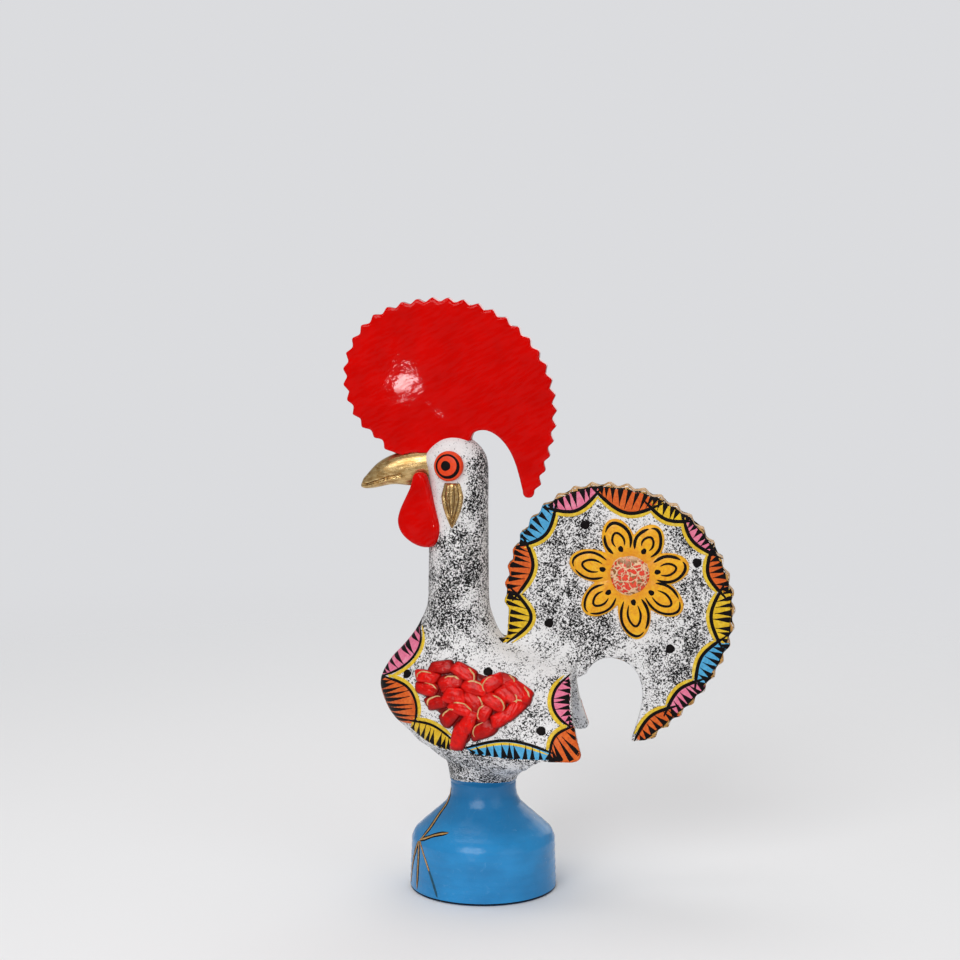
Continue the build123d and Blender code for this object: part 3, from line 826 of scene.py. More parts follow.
def mound(pile, surface, centre, reach, relief, side, rings=7, spokes=28, lift=0.0, ridge=None):
    """Domed patch pressed on a surface, whose outline is reach at each turn about its centre."""
    hit = surface.beside(centre[0], centre[1], side)
    if not hit:
        return
    place, normal = hit
    right = Vector((1, 0, 0)) - normal * normal.x
    right.normalize()
    up = normal.cross(right)
    if up.z < 0:
        up = -up
    base = len(pile.points)
    pile.points.append(place + normal * (relief + lift))
    for ring in range(1, rings + 1):
        share = ring / rings
        for t in turns(spokes):
            u, v = reach(t)
            foot, facing = surface.near(place + (right * u + up * v) * share)
            rise = relief * (1 - share**3) ** 0.6 + lift * (1 - share**6)
            if ridge:
                rise += ridge(u * share, v * share) * (1 - share**4)
            pile.points.append(foot + facing * (rise if ring < rings else -SUNK))
    for spoke in range(spokes):
        after = (spoke + 1) % spokes
        pile.faces.append((base, base + 1 + spoke, base + 1 + after))
        for ring in range(rings - 1):
            low, high = base + 1 + ring * spokes, base + 1 + (ring + 1) * spokes
            pile.faces.append((low + spoke, high + spoke, high + after, low + after))
    pile.faces.append(tuple(base + 1 + (rings - 1) * spokes + s for s in reversed(range(spokes))))


def turned(u, v, angle):
    """A flat offset turned by an angle."""
    return u * math.cos(angle) - v * math.sin(angle), u * math.sin(angle) + v * math.cos(angle)


def dab(pile, surface, centre, turn, length, width, relief, side, ripple=0.06, blunt=1.0, **shape):
    """Oval of slip or paint, uneven round its edge; blunt below 1 squares its ends."""
    phase = rng.uniform(0, 6.28)
    angle = math.radians(turn)

    def reach(t):
        uneven = 1 + ripple * math.sin(3 * t + phase) + ripple * 0.6 * math.sin(5 * t - phase)
        u = math.copysign(abs(math.cos(t)) ** blunt, math.cos(t)) * length / 2 * uneven
        v = math.copysign(abs(math.sin(t)) ** blunt, math.sin(t)) * width / 2 * uneven
        return turned(u, v, angle)

    mound(pile, surface, centre, reach, relief, side, **shape)


# Clay forms

def outer_shell(mesh):
    """The mesh without the closed hollows inside it."""
    work = bmesh.new()
    work.from_mesh(mesh)
    work.faces.ensure_lookup_table()
    unseen = set(work.faces)
    shells = []
    while unseen:
        start = unseen.pop()
        shell, edge = [start], [start]
        while edge:
            face = edge.pop()
            for side in face.edges:
                for other in side.link_faces:
                    if other in unseen:
                        unseen.remove(other)
                        shell.append(other)
                        edge.append(other)
        shells.append(shell)
    shells.sort(key=len)
    spare = [face for shell in shells[:-1] for face in shell]
    bmesh.ops.delete(work, geom=spare, context="FACES")
    work.to_mesh(mesh)
    work.free()
    return mesh


def softened(name, node_names, voxel, wear):
    """Solids pressed into one closed clay form with worn edges."""
    mesh = bpy.data.meshes.new(name)
    work = bmesh.new()
    for node in node_names:
        work.from_mesh(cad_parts[node].data)
    bmesh.ops.remove_doubles(work, verts=work.verts, dist=1e-7)
    work.to_mesh(mesh)
    work.free()
    scratch = placed(name + "_scratch", mesh)
    clay = scratch.modifiers.new("clay", "REMESH")
    clay.mode = "VOXEL"
    clay.voxel_size = voxel * MM
    worn = scratch.modifiers.new("worn", "SMOOTH")
    worn.factor = 0.5
    worn.iterations = wear
    bpy.context.view_layer.update()
    evaluated = scratch.evaluated_get(bpy.context.evaluated_depsgraph_get())
    formed = bpy.data.meshes.new_from_object(evaluated)
    formed.name = name
    formed.materials.clear()
    bpy.data.objects.remove(scratch)
    return outer_shell(formed)


def vectors(items, key):
    """One vector property of all the points or faces of a mesh."""
    values = np.zeros(len(items) * 3, np.float32)
    items.foreach_get(key, values)
    return values.reshape(-1, 3)


def store(mesh, name, values):
    """Stores a value at each point of a mesh for its material."""
    layer = mesh.attributes.new(name, "FLOAT", "POINT")
    layer.data.foreach_set("value", np.array(values, np.float32))


def reshaped(mesh, places):
    """The mesh with its points moved to new places, given in metres."""
    mesh.vertices.foreach_set("co", places.astype(np.float32).ravel())
    mesh.update()
    return mesh


def hand_formed(mesh, depth, span):
    """Presses shallow uneven hollows into a clay form."""
    places, normals = vectors(mesh.vertices, "co"), vectors(mesh.vertices, "normal")
    lumps = [noise.noise(Vector((x, abs(y), z))) for x, y, z in (places / (span * MM)).tolist()]
    return reshaped(mesh, places + normals * np.array(lumps, np.float32)[:, None] * depth * MM)


def sponge_weights(mesh):
    """How densely each point of the skin is sponged with speckle."""
    co = vectors(mesh.vertices, "co") / MM
    weights = np.full(len(co), SPONGE_BASE)
    for x, z, spread, weight in SPONGE_PATCHES:
        distance = (co[:, 0] - x) ** 2 + (co[:, 2] - z) ** 2
        weights += weight * np.exp(-distance / (2 * spread**2))
    back = np.interp(co[:, 2], (FACE_Z, FACE_LEAN_Z), (FACE_X - FACE_LEAN, FACE_X))
    face = 1 / (1 + np.exp((co[:, 0] - back) / FACE_FADE)) / (1 + np.exp((FACE_Z - co[:, 2]) / FACE_FADE))
    weights -= FACE_BARE * face
    store(mesh, "sponge", np.clip(weights, *SPONGE_RANGE))


def blended(mesh, weights, rounds):
    """Smooths a mesh in proportion to a weight for each of its points."""
    places = vectors(mesh.vertices, "co").astype(float)
    ends = np.zeros(len(mesh.edges) * 2, np.int32)
    mesh.edges.foreach_get("vertices", ends)
    ends = ends.reshape(-1, 2)
    live = weights > BLEND_LEAST
    ends = ends[live[ends].any(axis=1)]
    ends = np.concatenate([ends, ends[:, ::-1]])
    count = np.bincount(ends[:, 0], minlength=len(places))[live][:, None]
    pull = BLEND_PULL * weights[live][:, None]
    for _ in range(rounds):
        sums = [np.bincount(ends[:, 0], places[ends[:, 1], axis], len(places)) for axis in range(3)]
        middle = np.stack(sums, axis=1)[live] / count
        places[live] += pull * (middle - places[live])
    return reshaped(mesh, places)


def pushed(mesh, pushes):
    """Moves parts of a form: each push has a centre, a reach along each axis and a shift."""
    places = vectors(mesh.vertices, "co") / MM
    mirror = np.ones_like(places)
    mirror[:, 1] = np.sign(places[:, 1])
    moved = places.copy()
    for centre, reach, shift in pushes:
        away = (((places - np.array(centre)) / np.array(reach)) ** 2).sum(axis=1)
        moved += np.exp(-away)[:, None] * mirror * np.array(shift)
    return reshaped(mesh, moved * MM)


def back_weights(mesh):
    """Weights along the fold where the tail grows out of the back."""
    places = vectors(mesh.vertices, "co") / MM
    flat = places[:, [0, 2]]
    start, end = np.array(BACK_FOLD[0]), np.array(BACK_FOLD[1])
    along = np.clip(((flat - start) @ (end - start)) / ((end - start) @ (end - start)), 0, 1)
    away = np.linalg.norm(flat - (start + along[:, None] * (end - start)), axis=1)
    return np.exp(-(away / BACK_FOLD_SPREAD) ** 2)


def make_skin(finishes):
    """Body, wings and tail as one luted skin, with the tail's cut rim as a second finish."""
    nodes = ["body_left", "body_right", "wing_left", "wing_right", "tail"]
    mesh = hand_formed(softened("clay_skin", nodes, SKIN_VOXEL, SKIN_WEAR), SKIN_LUMP, SKIN_LUMP_SPAN)
    mesh = pushed(blended(mesh, back_weights(mesh), BACK_FOLD_ROUNDS), SKIN_PUSHES)
    sponge_weights(mesh)
    centres, normals = vectors(mesh.polygons, "center") / MM, vectors(mesh.polygons, "normal")
    x, z = centres[:, 0], centres[:, 2]
    outward = normals[:, 0] * (x - FLOWER.x) + normals[:, 2] * (z - FLOWER.y) > 0
    in_tail = (x > TAIL_FRONT_X) & (abs(centres[:, 1]) < RIM_HALF_T) & (z > TAIL_FOOT_Z)
    on_arch = (np.hypot(x - ARCH.x, z - ARCH.y) < ARCH_R) | ((x < ARCH.x) & (z < TAIL_ROOT_Z))
    rim = in_tail & outward & ~on_arch & (abs(normals[:, 1]) < RIM_LEAN)
    mesh.polygons.foreach_set("material_index", rim.astype(np.int32))
    return add_piece("clay_skin", mesh, [finishes["clay"], finishes["rim"]], nodes)


def make_small_forms(finishes):
    """Comb, beak and wattles."""
    comb = pushed(softened("comb_blade", ["comb"], COMB_VOXEL, SKIN_WEAR), COMB_PUSHES)
    comb = hand_formed(comb, COMB_LUMP, COMB_LUMP_SPAN)
    add_piece("comb_blade", comb, [finishes["comb"]], ["comb"])
    beak = pushed(softened("beak_gilt", ["beak"], SMALL_VOXEL, SMALL_WEAR), BEAK_PUSHES)
    add_piece("beak_gilt", beak, [finishes["gold"]], ["beak"])
    surface, mouth = Surface(beak), Pile()
    # A brown line along the mouth slit, as painted shade in it
    for side in SIDES.values():
        brush(mouth, surface, curve_through(MOUTH, 24), side, MOUTH_W, MOUTH_H, (0.6, 0.1))
    lay("beak_mouth", mouth, finishes["brown"])
    for side in SIDES:
        node = "wattle_" + side
        wattle = pushed(softened(node + "_red", [node], SMALL_VOXEL, WATTLE_WEAR), WATTLE_PUSHES)
        wattle = hand_formed(wattle, WATTLE_LUMP, WATTLE_LUMP_SPAN)
        add_piece(node + "_red", wattle, [finishes["comb"]], [node])


def make_pedestal(finishes, skin):
    """Thrown pedestal with finger rings, and its blue drawn up over the joint with the body."""
    solid = Surface(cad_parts["pedestal"].data)
    levels = FOOT_LEVELS + WALL_LEVELS + [STEM_TOP_Z - 0.1]
    loops = []
    for angle in turns(PEDESTAL_TURNS):
        out = ray(angle).to_3d()
        loop = []
        for z in levels:
            ring = THROW_RING * math.sin(2 * math.pi * z / THROW_PITCH + 1.5 * math.sin(angle))
            lump = PEDESTAL_LUMP * noise.noise(Vector((out.x * 1.6, out.y * 1.6, z / 9)))
            fade = min(1, z / FOOT_FADE) * min(1, (STEM_TOP_Z - z) / STEM_FADE)
            loop.append(solid.around(out, z) + out * (ring + lump) * fade)
        wave = COLLAR_WAVE * noise.noise(Vector((out.x * 3, out.y * 3, 4.2)))
        rise = COLLAR_Z + COLLAR_RISE * out.y**2 + wave - STEM_TOP_Z
        for share in COLLAR_STEPS:
            place = skin.around(out, STEM_TOP_Z + rise * share)
            loop.append(place + out * (COLLAR_H if share < 1 else -SUNK))
        loop.append(out * SEAT_R + Vector((0, 0, STEM_TOP_Z - 0.05)))
        for z in levels[:0:-2]:
            loop.append(solid.cast(Vector((0, 0, z)), out)[0])
        place, _ = solid.cast(Vector((0, 0, 0.05)), out)
        loop.append(Vector((place.x, place.y, 0.0)) + out * FOOT_BEVEL)
        loops.append(loop)
    pile = Pile()
    pile.loops(loops, closed=True)
    return lay("pedestal_glaze", pile, finishes["glaze"], ["pedestal"])


# Raised ornament

def make_eyes(finishes):
    """Domed discs with a black ring, thicker behind and below, and a pupil."""
    for name, side in SIDES.items():
        aim = Vector((EYE_AIM.x, -side * EYE_AIM.y, EYE_AIM.z)).normalized()
        low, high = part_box("eye_" + name)
        across = Vector((0, 0, 1)).cross(aim).normalized()
        up = aim.cross(across)
        face = max(abs(low.y), abs(high.y)) / MM
        crest = Vector((EYE_AT.x, side * face, EYE_AT.y))
        loops = []
        for radius, drop in EYE_PROFILE:
            loops.append([crest + aim * drop + (across * math.cos(t) + up * math.sin(t)) * radius
                          for t in turns(EYE_SPOKES)])
        disc, marks = Pile(), Pile()
        disc.loops(loops)
        surface = lay("eye_disc_" + name, disc, finishes["eye"], ["eye_" + name])
        ring, widths = [], []
        for t in turns(EYE_SPOKES):
            point = crest + (across * math.cos(t) * EYE_RING_OVAL + up * math.sin(t)) * EYE_RING_R
            ring.append(surface.near(point)[0])
            widths.append(EYE_RING_W + EYE_RING_SWELL * max(0, math.cos(t + EYE_RING_TURN)))
        stroke(marks, surface, ring, widths, EYE_RING_H, closed=True)
        pupil = EYE_AT + EYE_PUPIL_SHIFT
        size = 2 * EYE_PUPIL_R
        dab(marks, surface, pupil, 0, size, size, EYE_PUPIL_H, side, rings=4, ripple=0.02)
        lay("eye_marks_" + name, marks, finishes["black"])


def lobe_half_width(share):
    """Half width of the ear lobe from its blunt top at 0 to its point at 1."""
    narrowing = max(0.0, 1 - max(0, (share - 0.3) / 0.7) ** 1.7) ** 0.9
    return LOBE_HALF_W * min(1, 0.68 + 1.1 * share) * narrowing


def lobe_height(share):
    return LOBE_TOP_Z + (LOBE_TIP_Z - LOBE_TOP_Z) * share


def make_ear_lobes(finishes, skin):
    """Gilt leaves with nested ridges that meet in a point, and brown lines along their grooves as painted
    shade.
    """
    for name, side in SIDES.items():
        loops = []
        for share in np.linspace(0, 1, LOBE_ROWS).tolist():
            half = max(lobe_half_width(share), LOBE_LEAST_W)
            upper, lower = [], []
            for u in np.linspace(-1, 1, LOBE_COLUMNS).tolist():
                place, normal = skin.near(skin.beside(LOBE_X + u * half, lobe_height(share), side)[0])
                inward = 1 - abs(u) - LOBE_RIDGE_LEAN * max(0, share - 0.1)
                ridge = 0.5 + 0.5 * math.cos(2 * math.pi * inward / LOBE_RIDGE_PITCH)
                edge = (1 - abs(u) ** 6) * (1 - (2 * share - 1) ** 12)
                upper.append(place + normal * (edge * (LOBE_H + LOBE_RIDGE_H * ridge) - 0.1))
                lower.append(place - normal * LOBE_SUNK)
            loops.append(upper + lower[::-1])
        leaf, grooves = Pile(), Pile()
        leaf.loops(loops, strips=True)
        surface = lay("ear_lobe_gilt_" + name, leaf, finishes["gold"], ["ear_lobe_" + name])
        # Brown lines along the grooves: painted shade in the hollows between the ridges
        for reach, last in LOBE_GROOVES:
            for half in (-1, 1):
                points = []
                for share in np.linspace(LOBE_GROOVE_START, last, LOBE_GROOVE_POINTS).tolist():
                    across = half * reach * (1 - (share / last) ** 3)
                    points.append((LOBE_X + across * lobe_half_width(share), lobe_height(share)))
                brush(grooves, surface, points, side, LOBE_GROOVE_W, LOBE_GROOVE_H)
        lay("ear_lobe_grooves_" + name, grooves, finishes["brown"])


def petal_shape(turn, reach):
    """Centre and half length of a petal's oval about the middle of the flower, and its two axes."""
    half = (reach - PETAL_ROOT) / 2
    axis = ray(math.radians(turn))
    return axis * (PETAL_ROOT + half), half, axis, Vector((-axis.y, axis.x))


def petal_reach(angle):
    """Distance from the middle of the flower to its outline."""
    best = FLOWER_DISC_R
    for turn, reach in PETALS:
        centre, half, axis, side = petal_shape(turn, reach)
        along = ray(angle).dot(axis)
        a = (along / half) ** 2 + (ray(angle).dot(side) / PETAL_HALF_W) ** 2
        b = -2 * along * centre.length / half**2
        c = (centre.length / half) ** 2 - 1
        inside = b * b - 4 * a * c
        if inside > 0:
            best = max(best, (-b + math.sqrt(inside)) / (2 * a))
    return best


def flower_height(point):
    """Height of the flower's slip: pillowed petals that run into a disc round the boss."""
    best = 0.0
    for turn, reach in PETALS:
        centre, half, axis, side = petal_shape(turn, reach)
        offset = point - centre
        away = (offset.dot(axis) / half) ** 2 + (offset.dot(side) / PETAL_HALF_W) ** 2
        best = max(best, FLOWER_RELIEF * max(0.0, 1 - away**1.6) ** 0.5)
    disc = FLOWER_RELIEF * 0.8 * max(0.0, 1 - (point.length / FLOWER_DISC_R) ** 6) ** 0.5
    return max(best, disc)


def make_flowers(finishes, skin):
    """Slip flowers round the bosses, and their surfaces."""
    surfaces = {}
    for name, side in SIDES.items():
        out = Vector((0, side, 0))
        loops = []
        for angle in turns(FLOWER_TURNS):
            reach = petal_reach(angle)
            upper, lower = [], []
            for j in range(FLOWER_RINGS + 1):
                radius = FLOWER_EYE_R + (reach - FLOWER_EYE_R) * (1 - (1 - j / FLOWER_RINGS) ** 1.5)
                point = ray(angle) * radius
                place, _ = skin.beside(FLOWER.x + point.x, FLOWER.y + point.y, side)
                upper.append(place + out * (flower_height(point) if j < FLOWER_RINGS else 0.0))
                lower.append(place - out * SLIP_SUNK)
            loops.append(upper + lower[::-1])
        pile = Pile()
        pile.loops(loops, closed=True)
        slip = finishes["flower"]
        surfaces[name] = lay("flower_slip_" + name, pile, slip, ["tail_flower_" + name])
    return surfaces


def petal_lines(pile, surface, side):
    """Broken outline, inner loop and seed brushed on each petal, in places along and across it."""
    for turn, reach in PETALS:
        _, _, axis, across = petal_shape(turn, reach)
        wobble = [rng.uniform(-PETAL_WOBBLE, PETAL_WOBBLE) for _ in range(8)]

        def on_petal(along, sideways):
            flat = FLOWER + axis * along + across * sideways
            return flat.x, flat.y

        def draw(places, half_width):
            brush(pile, surface, [on_petal(*place) for place in places], side, half_width, PETAL_LINE_H)

        tip = reach - PETAL_TIP_INSET
        width = PETAL_HALF_W - PETAL_SIDE_INSET
        outline = [(8.6, -width * 0.72), (11.5 + wobble[0], -width), (tip - 3.0, -width * 0.86),
                   (tip + wobble[1] * 0.5, wobble[2]), (tip - 3.0, width * 0.86), (11.0 + wobble[3], width),
                   (8.4, width * 0.7)]
        drawn = curve_through(outline, 60)
        gap = rng.randrange(24, 38)
        for part in (drawn[:gap + 6], drawn[gap + 7:]):
            draw(part, PETAL_LINE_W + abs(wobble[4]) * PETAL_LINE_SWELL)
        inner_tip = tip - 3.2 + wobble[5]
        loop = [(10.0 + wobble[6], -1.5), (inner_tip - 2.4, -1.9), (inner_tip, 0.1), (inner_tip - 2.6, 1.9),
                (10.4, 1.4)]
        draw(curve_through(loop, 36), PETAL_LINE_W)
        seed = on_petal(SEED_AT, wobble[7] * 2)
        dab(pile, surface, seed, turn, *SEED_SIZE, SEED_H, side, rings=3, spokes=18)


def make_bosses(finishes, skin):
    """Domed bosses with a cream line round the foot."""
    for name, side in SIDES.items():
        out = Vector((0, side, 0))
        base = skin.beside(FLOWER.x, FLOWER.y, side)[0]
        loops = []
        for share in BOSS_SHARES:
            depth = BOSS_RELIEF * (1 - share**3.2) ** 0.62 if share < 1 else -SLIP_SUNK
            loop = []
            for t in turns(BOSS_SPOKES):
                uneven = 1 + 0.015 * math.sin(3 * t + 1) + 0.012 * math.sin(7 * t)
                offset = Vector((math.cos(t), 0, math.sin(t))) * BOSS_R * share * uneven
                loop.append(base + offset + out * depth)
            loops.append(loop)
        dome, gilt = Pile(), Pile()
        dome.loops(loops)
        surface = lay("boss_glaze_" + name, dome, finishes["boss"], ["flower_boss_" + name])
        rim = BOSS_R * BOSS_RIM
        ring = [(FLOWER.x + rim * math.cos(i / 10), FLOWER.y + rim * math.sin(i / 10)) for i in range(60)]
        brush(gilt, surface, ring, side, BOSS_RIM_W, BOSS_RIM_H)
        lay("boss_gilt_" + name, gilt, finishes["cream"])


def gilt_line(x, z, turn, length, width):
    """Points of a gilt streak along part of a dab's edge, or none."""
    start = rng.uniform(*GILT_START)
    sweep = rng.choice(GILT_SWEEPS)
    points = []
    for i in range(GILT_POINTS if sweep else 0):
        t = math.radians(start + sweep * i / (GILT_POINTS - 1))
        u, v = math.cos(t) * length * GILT_SHARE, math.sin(t) * width * GILT_SHARE
        du, dv = turned(u, v + 0.07 * math.sin(i * 0.8 + x), math.radians(turn))
        points.append((x + du, z + dv))
    return points


def make_hearts(finishes, skin):
    """A bed of red slip under overlapping dabs, with gilt along the upper edge of most."""
    middle = np.mean([(x, z) for x, z, *_ in HEART_DABS], axis=0)
    rim = curve_through(HEART_OUTLINE + HEART_OUTLINE[:1], BED_SPOKES + 1)[:-1] - middle

    def bed_reach(t):
        return rim[round(t / (2 * math.pi) * BED_SPOKES) % BED_SPOKES]

    for name, side in SIDES.items():
        pile = Pile()
        mound(pile, skin, middle, bed_reach, BED_RELIEF, side, BED_RINGS, BED_SPOKES)
        for index, (x, z, turn, length, width) in enumerate(HEART_DABS):
            across = math.radians(turn + rng.uniform(-DAB_TWIST, DAB_TWIST))
            pitch = rng.uniform(*DAB_RIDGE_PITCH)

            def ridge(u, v):
                aside = v * math.cos(across) - u * math.sin(across)
                return DAB_RIDGE * math.sin(2 * math.pi * aside / pitch + index)

            dab(pile, skin, (x, z), turn, length * DAB_GROW[0], width * DAB_GROW[1], DAB_RELIEF, side,
                ripple=0.08, blunt=0.62, rings=12, spokes=40, lift=DAB_LIFT + DAB_STACK * (index * 2 % 5),
                ridge=ridge)
        mesh = pile.mesh("heart_slip_" + name)
        places = [Vector(c) / MM for c in vectors(mesh.vertices, "co").tolist()]
        # Height over the clay: heart_red paints shade into the creases where it is low
        store(mesh, "proud", [(place - skin.near(place)[0]).length for place in places])
        add_piece("heart_slip_" + name, mesh, [finishes["heart"]], ["heart_" + name])
        surface = Surface(mesh)
        gilt = Pile()
        for heart_dab in HEART_DABS:
            points = gilt_line(*heart_dab)
            if points:
                brush(gilt, surface, points, side, rng.uniform(*GILT_W), GILT_STREAK_H)
        lay("heart_gilt_" + name, gilt, finishes["pale_gold"])


# Brushwork

class Scallop:
    """A painted scallop between an inner line and the edge that it hangs from, both drawn in x and z."""

    def __init__(self, skin, side, inner, edge):
        self.skin, self.side = skin, side
        self.inner, self.edge = np.array(inner), np.array(edge)

    def at(self, along, depth):
        """Surface at a share along the scallop and a share from its edge to its inner line."""
        place = along * (len(self.inner) - 1)
        i = min(int(place), len(self.inner) - 2)
        t = place - i
        inner = self.inner[i] * (1 - t) + self.inner[i + 1] * t
        edge = self.edge[i] * (1 - t) + self.edge[i + 1] * t
        x, z = edge + (inner - edge) * depth
        return self.skin.beside(x, z, self.side)

    def fill(self, pile, inset, rows=12, height=FILL_H, depth=1.0):
        """Flat coat of paint from within an inset of the edge to a share of the way to the inner line."""
        last = len(self.inner) - 1
        breadth = np.maximum(np.linalg.norm(self.edge - self.inner, axis=1), 0.01)
        starts = np.clip(inset / breadth, 0.002, 0.9)
        loops = []
        for row in range(rows):
            upper, lower = [], []
            for i, start in enumerate(starts):
                reach = max(0.0, depth - start) * (row / (rows - 1)) ** 2
                hit = self.at(i / last, start + reach)
                if hit is None:
                    hit = self.skin.near((self.edge[i][0], 0, self.edge[i][1]))
                upper.append(hit[0] + hit[1] * height)
                lower.append(hit[0] - hit[1] * SUNK)
            loops.append(upper + lower[::-1])
        pile.loops(loops, strips=True)

    def rays(self, pile, count, width):
        """Black wedges that run in from the edge."""
        last = RAY_STEPS - 1
        for k in range(count):
            along = (k + 0.5 + rng.uniform(-RAY_SCATTER, RAY_SCATTER)) / count
            depth = rng.uniform(*RAY_REACH)
            lean = rng.uniform(-RAY_LEAN, RAY_LEAN)
            hits = [self.at(min(1, max(0, along + lean * i / last)), 0.01 + depth * i / last)
                    for i in range(RAY_STEPS)]
            line = [hit[0] for hit in hits if hit]
            stroke(pile, self.skin, line, wedge(len(line), width * rng.uniform(*RAY_SWELL)), STROKE_H)


def halo_line(points, centre, gap):
    """A line moved towards a centre by a gap."""
    moved = []
    for i, point in enumerate(points):
        along = points[min(i + 1, len(points) - 1)] - points[max(i - 1, 0)]
        aside = np.array([-along[1], along[0]]) / np.linalg.norm(along)
        if aside.dot(np.array(centre) - point) < 0:
            aside = -aside
        moved.append(point + aside * gap)
    return moved


def fanned_edge(skin, points, fan, side, widest=FAR):
    """Inner line and edge of a scallop whose strokes spread from a fan point."""
    inner, edge = [], []
    for point in points:
        outward = (point - fan) / np.linalg.norm(point - fan)
        hit = skin.beside(point[0], point[1], side)
        if hit and abs(hit[0].y) < widest:
            inner.append(point)
            edge.append(skin.edge_from(point[0], point[1], outward, side, widest))
    return inner, edge


def even_rim(inner, edge):
    """The toothed edge of the tail drawn back to a smooth line through the notches."""
    inner, edge = np.array(inner), np.array(edge)
    away = np.linalg.norm(edge - np.array(FLOWER), axis=1)

    def spread(values, reduce):
        spans = [values[max(0, i - NOTCH_SPAN):i + NOTCH_SPAN + 1] for i in range(len(values))]
        return np.array([reduce(span) for span in spans])

    back = np.maximum(away - spread(spread(away, np.min), np.mean) - TIP_OVERLAP, 0)
    share = np.minimum(back / np.maximum(np.linalg.norm(edge - inner, axis=1), 0.01), 0.8)
    return inner, edge + (inner - edge) * share[:, None]


def keel_edge(skin, points, high, low, side):
    """Inner line and edge of a scallop that hangs from the keel of the breast."""
    edge = []
    for i in range(len(points)):
        z = high + (low - high) * i / (len(points) - 1)
        place, _ = skin.cast((-FAR, side * KEEL_ASIDE, z), (1, 0, 0))
        edge.append((place.x + KEEL_INSET, z))
    return points, edge


def paint_side(finishes, skin, flower, name, side):
    """Scallops, halos, dots and petal lines of one side."""
    fills = {colour: Pile() for colour in ("yellow", "orange", "blue", "pink")}
    halos, black, tips = Pile(), Pile(), Pile()

    def outline(points, centre, run_out, halo_side=1, width=LINE_W, widest=FAR):
        brush(black, skin, lengthened(points, run_out), side, width, LINE_H, (0.3, 0.3), widest=widest)
        halo = halo_line(points[2:-2], centre, halo_side * HALO_GAP)
        brush(halos, skin, halo, side, HALO_W, HALO_H, (0.2, 0.2), 0.8, widest)

    def scallop(colour, edges, rays, inset=0.0):
        shape = Scallop(skin, side, *edges)
        shape.fill(fills[colour], inset)
        shape.rays(black, rays, RAY_W)

    for colour, *corners in TAIL_SCALLOPS:
        start, end = np.array(corners[0]), np.array(corners[2])
        chord = end - start
        outward = np.array([-chord[1], chord[0]]) / np.linalg.norm(chord)
        fan = (start + end) / 2 - outward * TAIL_FAN
        points = curve_through(corners, int(np.linalg.norm(chord) / SCALLOP_STEP))
        rays = max(LEAST_RAYS, round(np.linalg.norm(chord) / RAY_PITCH))
        inner, edge = fanned_edge(skin, points, fan, side, TAIL_WIDEST)
        if end[0] < FRONT_RIM_X:
            scallop(colour, (inner, edge), rays, FRONT_INSET)
        else:
            Scallop(skin, side, inner, edge).fill(tips, RIM_INSET, TIP_ROWS, TIP_H, TIP_DEPTH)
            scallop(colour, even_rim(inner, edge), rays, RIM_INSET)
        outline(points, FLOWER, TAIL_RUN_OUT, width=TAIL_LINE_W, widest=TAIL_WIDEST)

    for colour, corners, (high, low), rays in BREAST_SCALLOPS:
        points = curve_through(corners, SCALLOP_POINTS)
        scallop(colour, keel_edge(skin, points, high, low, side), rays)
        outline(points, BREAST_CENTRE, BREAST_RUN_OUT)
        if name == "left":
            heights = np.linspace(high, low, KEEL_POINTS).tolist()
            keel = [skin.cast((-FAR, 0.0, z), (1, 0, 0))[0] for z in heights]
            stroke(fills[colour], skin, keel, tapered(len(keel), KEEL_W, 0.7, 0.7), FILL_H)

    for colour, corners, edge, rays, halo_side in WING_SCALLOPS:
        points = curve_through(corners, SCALLOP_POINTS)
        if isinstance(edge, list):
            edges = points, curve_through(edge, len(points))
        else:
            edges = fanned_edge(skin, points, np.array(edge), side)
        scallop(colour, edges, rays)
        outline(points, WING_CENTRE, WING_RUN_OUT, halo_side)

    for dot in DOTS:
        dab(black, skin, dot, rng.uniform(0, 180), 2.1 * DOT_R, 2 * DOT_R, DOT_H, side, rings=4, spokes=22)
    petal_lines(black, flower, side)
    for colour, pile in fills.items():
        lay(f"scallops_{colour}_{name}", pile, finishes[colour])
    lay("tail_tips_" + name, tips, finishes["rim"])
    lay("halos_" + name, halos, finishes["halo"])
    lay("black_brushwork_" + name, black, finishes["black"])


def paint_bird_foot(finishes, pedestal):
    """Gilt leg and toes with dark edges on each side of the pedestal, and the dark line round its foot."""
    gilt, dark, teal = Pile(), Pile(), Pile()
    for side in SIDES.values():
        for points, width in [(FOOT_LEG, LEG_W)] + [(toe, TOE_W) for toe in FOOT_TOES]:
            drawn = curve_through(points, 30)
            brush(dark, pedestal, drawn, side, width + EDGE_OVER, EDGE_H, (0.5, 0.1))
            brush(gilt, pedestal, drawn, side, width - GILT_UNDER, GILT_H, (0.6, 0.1))
        toe = pedestal.line(curve_through(FOOT_MIDDLE_TOE, 36), side)
        half = len(toe) // 2
        stroke(dark, pedestal, toe[:half + 1], tapered(half + 1, MIDDLE_TOE_W, 0.5, 0.8), EDGE_H)
        stroke(gilt, pedestal, toe[:half + 1], tapered(half + 1, MIDDLE_GILT_W, 0.6, 0.8), GILT_H)
        stroke(teal, pedestal, toe[half:], tapered(len(toe) - half, MIDDLE_TOE_W, 0.9, 0.1), TEAL_H)
    ring = [pedestal.around(ray(angle).to_3d(), FOOT_LINE_Z) for angle in turns(PEDESTAL_TURNS)]
    stroke(dark, pedestal, ring, [FOOT_LINE_W] * len(ring), FOOT_LINE_H, closed=True)
    lay("bird_foot_gilt", gilt, finishes["toe"])
    lay("bird_foot_edges", dark, finishes["black"])
    lay("bird_foot_teal", teal, finishes["teal"])


# Stage

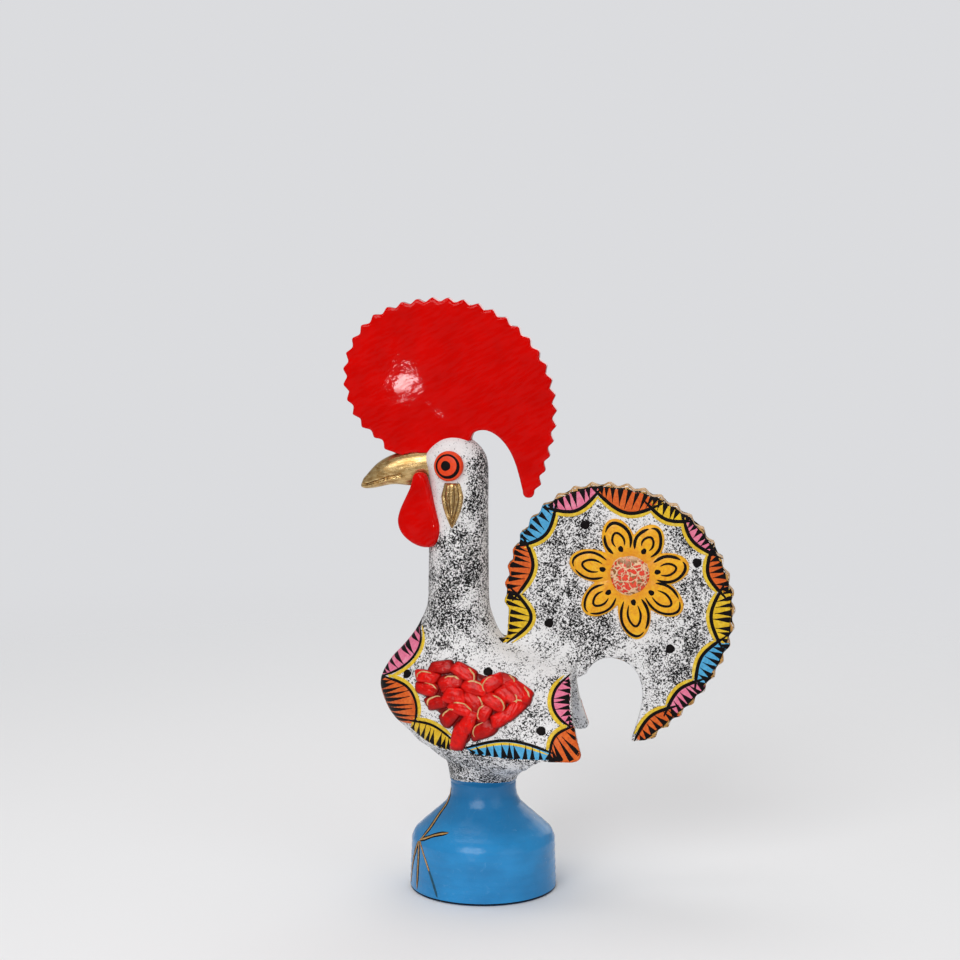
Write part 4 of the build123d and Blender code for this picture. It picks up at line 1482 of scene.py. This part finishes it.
def make_surround():
    """Even light from all round, with a pale grey seen behind the ornament."""
    world = bpy.data.worlds.new("studio")
    bpy.context.scene.world = world
    world.use_nodes = True
    nodes = Nodes(world.node_tree)
    sky = nodes.tree.nodes["Background"]
    nodes.set(sky, {"Color": (1, 1, 1), "Strength": SKY_STRENGTH})
    seen = nodes.add("ShaderNodeBackground", {"Color": SURROUND})
    rays = nodes.add("ShaderNodeLightPath", {})
    values = {0: rays.outputs["Is Camera Ray"], 1: sky.outputs[0], 2: seen.outputs[0]}
    mixed = nodes.add("ShaderNodeMixShader", values)
    nodes.set(nodes.tree.nodes["World Output"], {"Surface": mixed.outputs[0]})


def make_floor():
    """Pale floor that fades into the surround."""
    mesh = bpy.data.meshes.new("floor")
    rim = [(FLOOR_R * math.cos(t), FLOOR_R * math.sin(t), 0) for t in turns(FLOOR_SPOKES)]
    mesh.from_pydata(rim, [], [tuple(range(FLOOR_SPOKES))])
    floor = placed("floor", mesh)
    f = Finish("floor_paper", 0.9, shine=0.5)
    apart = f.add("ShaderNodeVectorMath", {0: f.place}, operation="LENGTH").outputs["Value"]
    values = {"Value": apart, "From Min": FLOOR_FADE[0], "From Max": FLOOR_FADE[1]}
    fade = f.add("ShaderNodeMapRange", values, interpolation_type="SMOOTHSTEP").outputs["Result"]
    clear = f.add("ShaderNodeBsdfTransparent", {}).outputs[0]
    mixed = f.add("ShaderNodeMixShader", {0: fade, 1: f.shader.outputs[0], 2: clear})
    f.set(f.tree.nodes["Material Output"], {"Surface": mixed.outputs[0]})
    mesh.materials.append(f.finish(FLOOR_TONE))


def aimed(name, data, place, aim):
    """A lamp or camera at one place that faces another."""
    holder = placed(name, data)
    holder.location = place
    holder.rotation_mode = "QUATERNION"
    holder.rotation_quaternion = (Vector(aim) - Vector(place)).to_track_quat("-Z", "Y")
    return holder


def make_stage():
    """Surround, floor, soft studio lamps and the camera."""
    bpy.context.scene.view_settings.view_transform = "Standard"
    make_surround()
    make_floor()
    for name, place, aim, size, watts in LAMPS:
        lamp = bpy.data.lights.new(name, "AREA")
        lamp.shape = "DISK"
        lamp.size = size
        lamp.energy = watts
        aimed(name, lamp, place, aim)
    lens = bpy.data.cameras.new("camera")
    lens.sensor_width = SENSOR_W
    lens.lens = SENSOR_W * FOCAL_PIXELS / PICTURE
    lens.shift_x = (PICTURE / 2 - CENTRE_PIXEL[0]) / PICTURE
    lens.shift_y = (CENTRE_PIXEL[1] - PICTURE / 2) / PICTURE
    lens.clip_start = 0.01
    bpy.context.scene.camera = aimed("camera", lens, CAMERA_AT, CAMERA_AIM)


def main():
    finishes = build_finishes()
    skin = Surface(make_skin(finishes).data)
    make_small_forms(finishes)
    pedestal = make_pedestal(finishes, skin)
    make_eyes(finishes)
    make_ear_lobes(finishes, skin)
    flowers = make_flowers(finishes, skin)
    make_bosses(finishes, skin)
    make_hearts(finishes, skin)
    for name, side in SIDES.items():
        paint_side(finishes, skin, flowers[name], name, side)
    paint_bird_foot(finishes, pedestal)
    make_stage()


main()
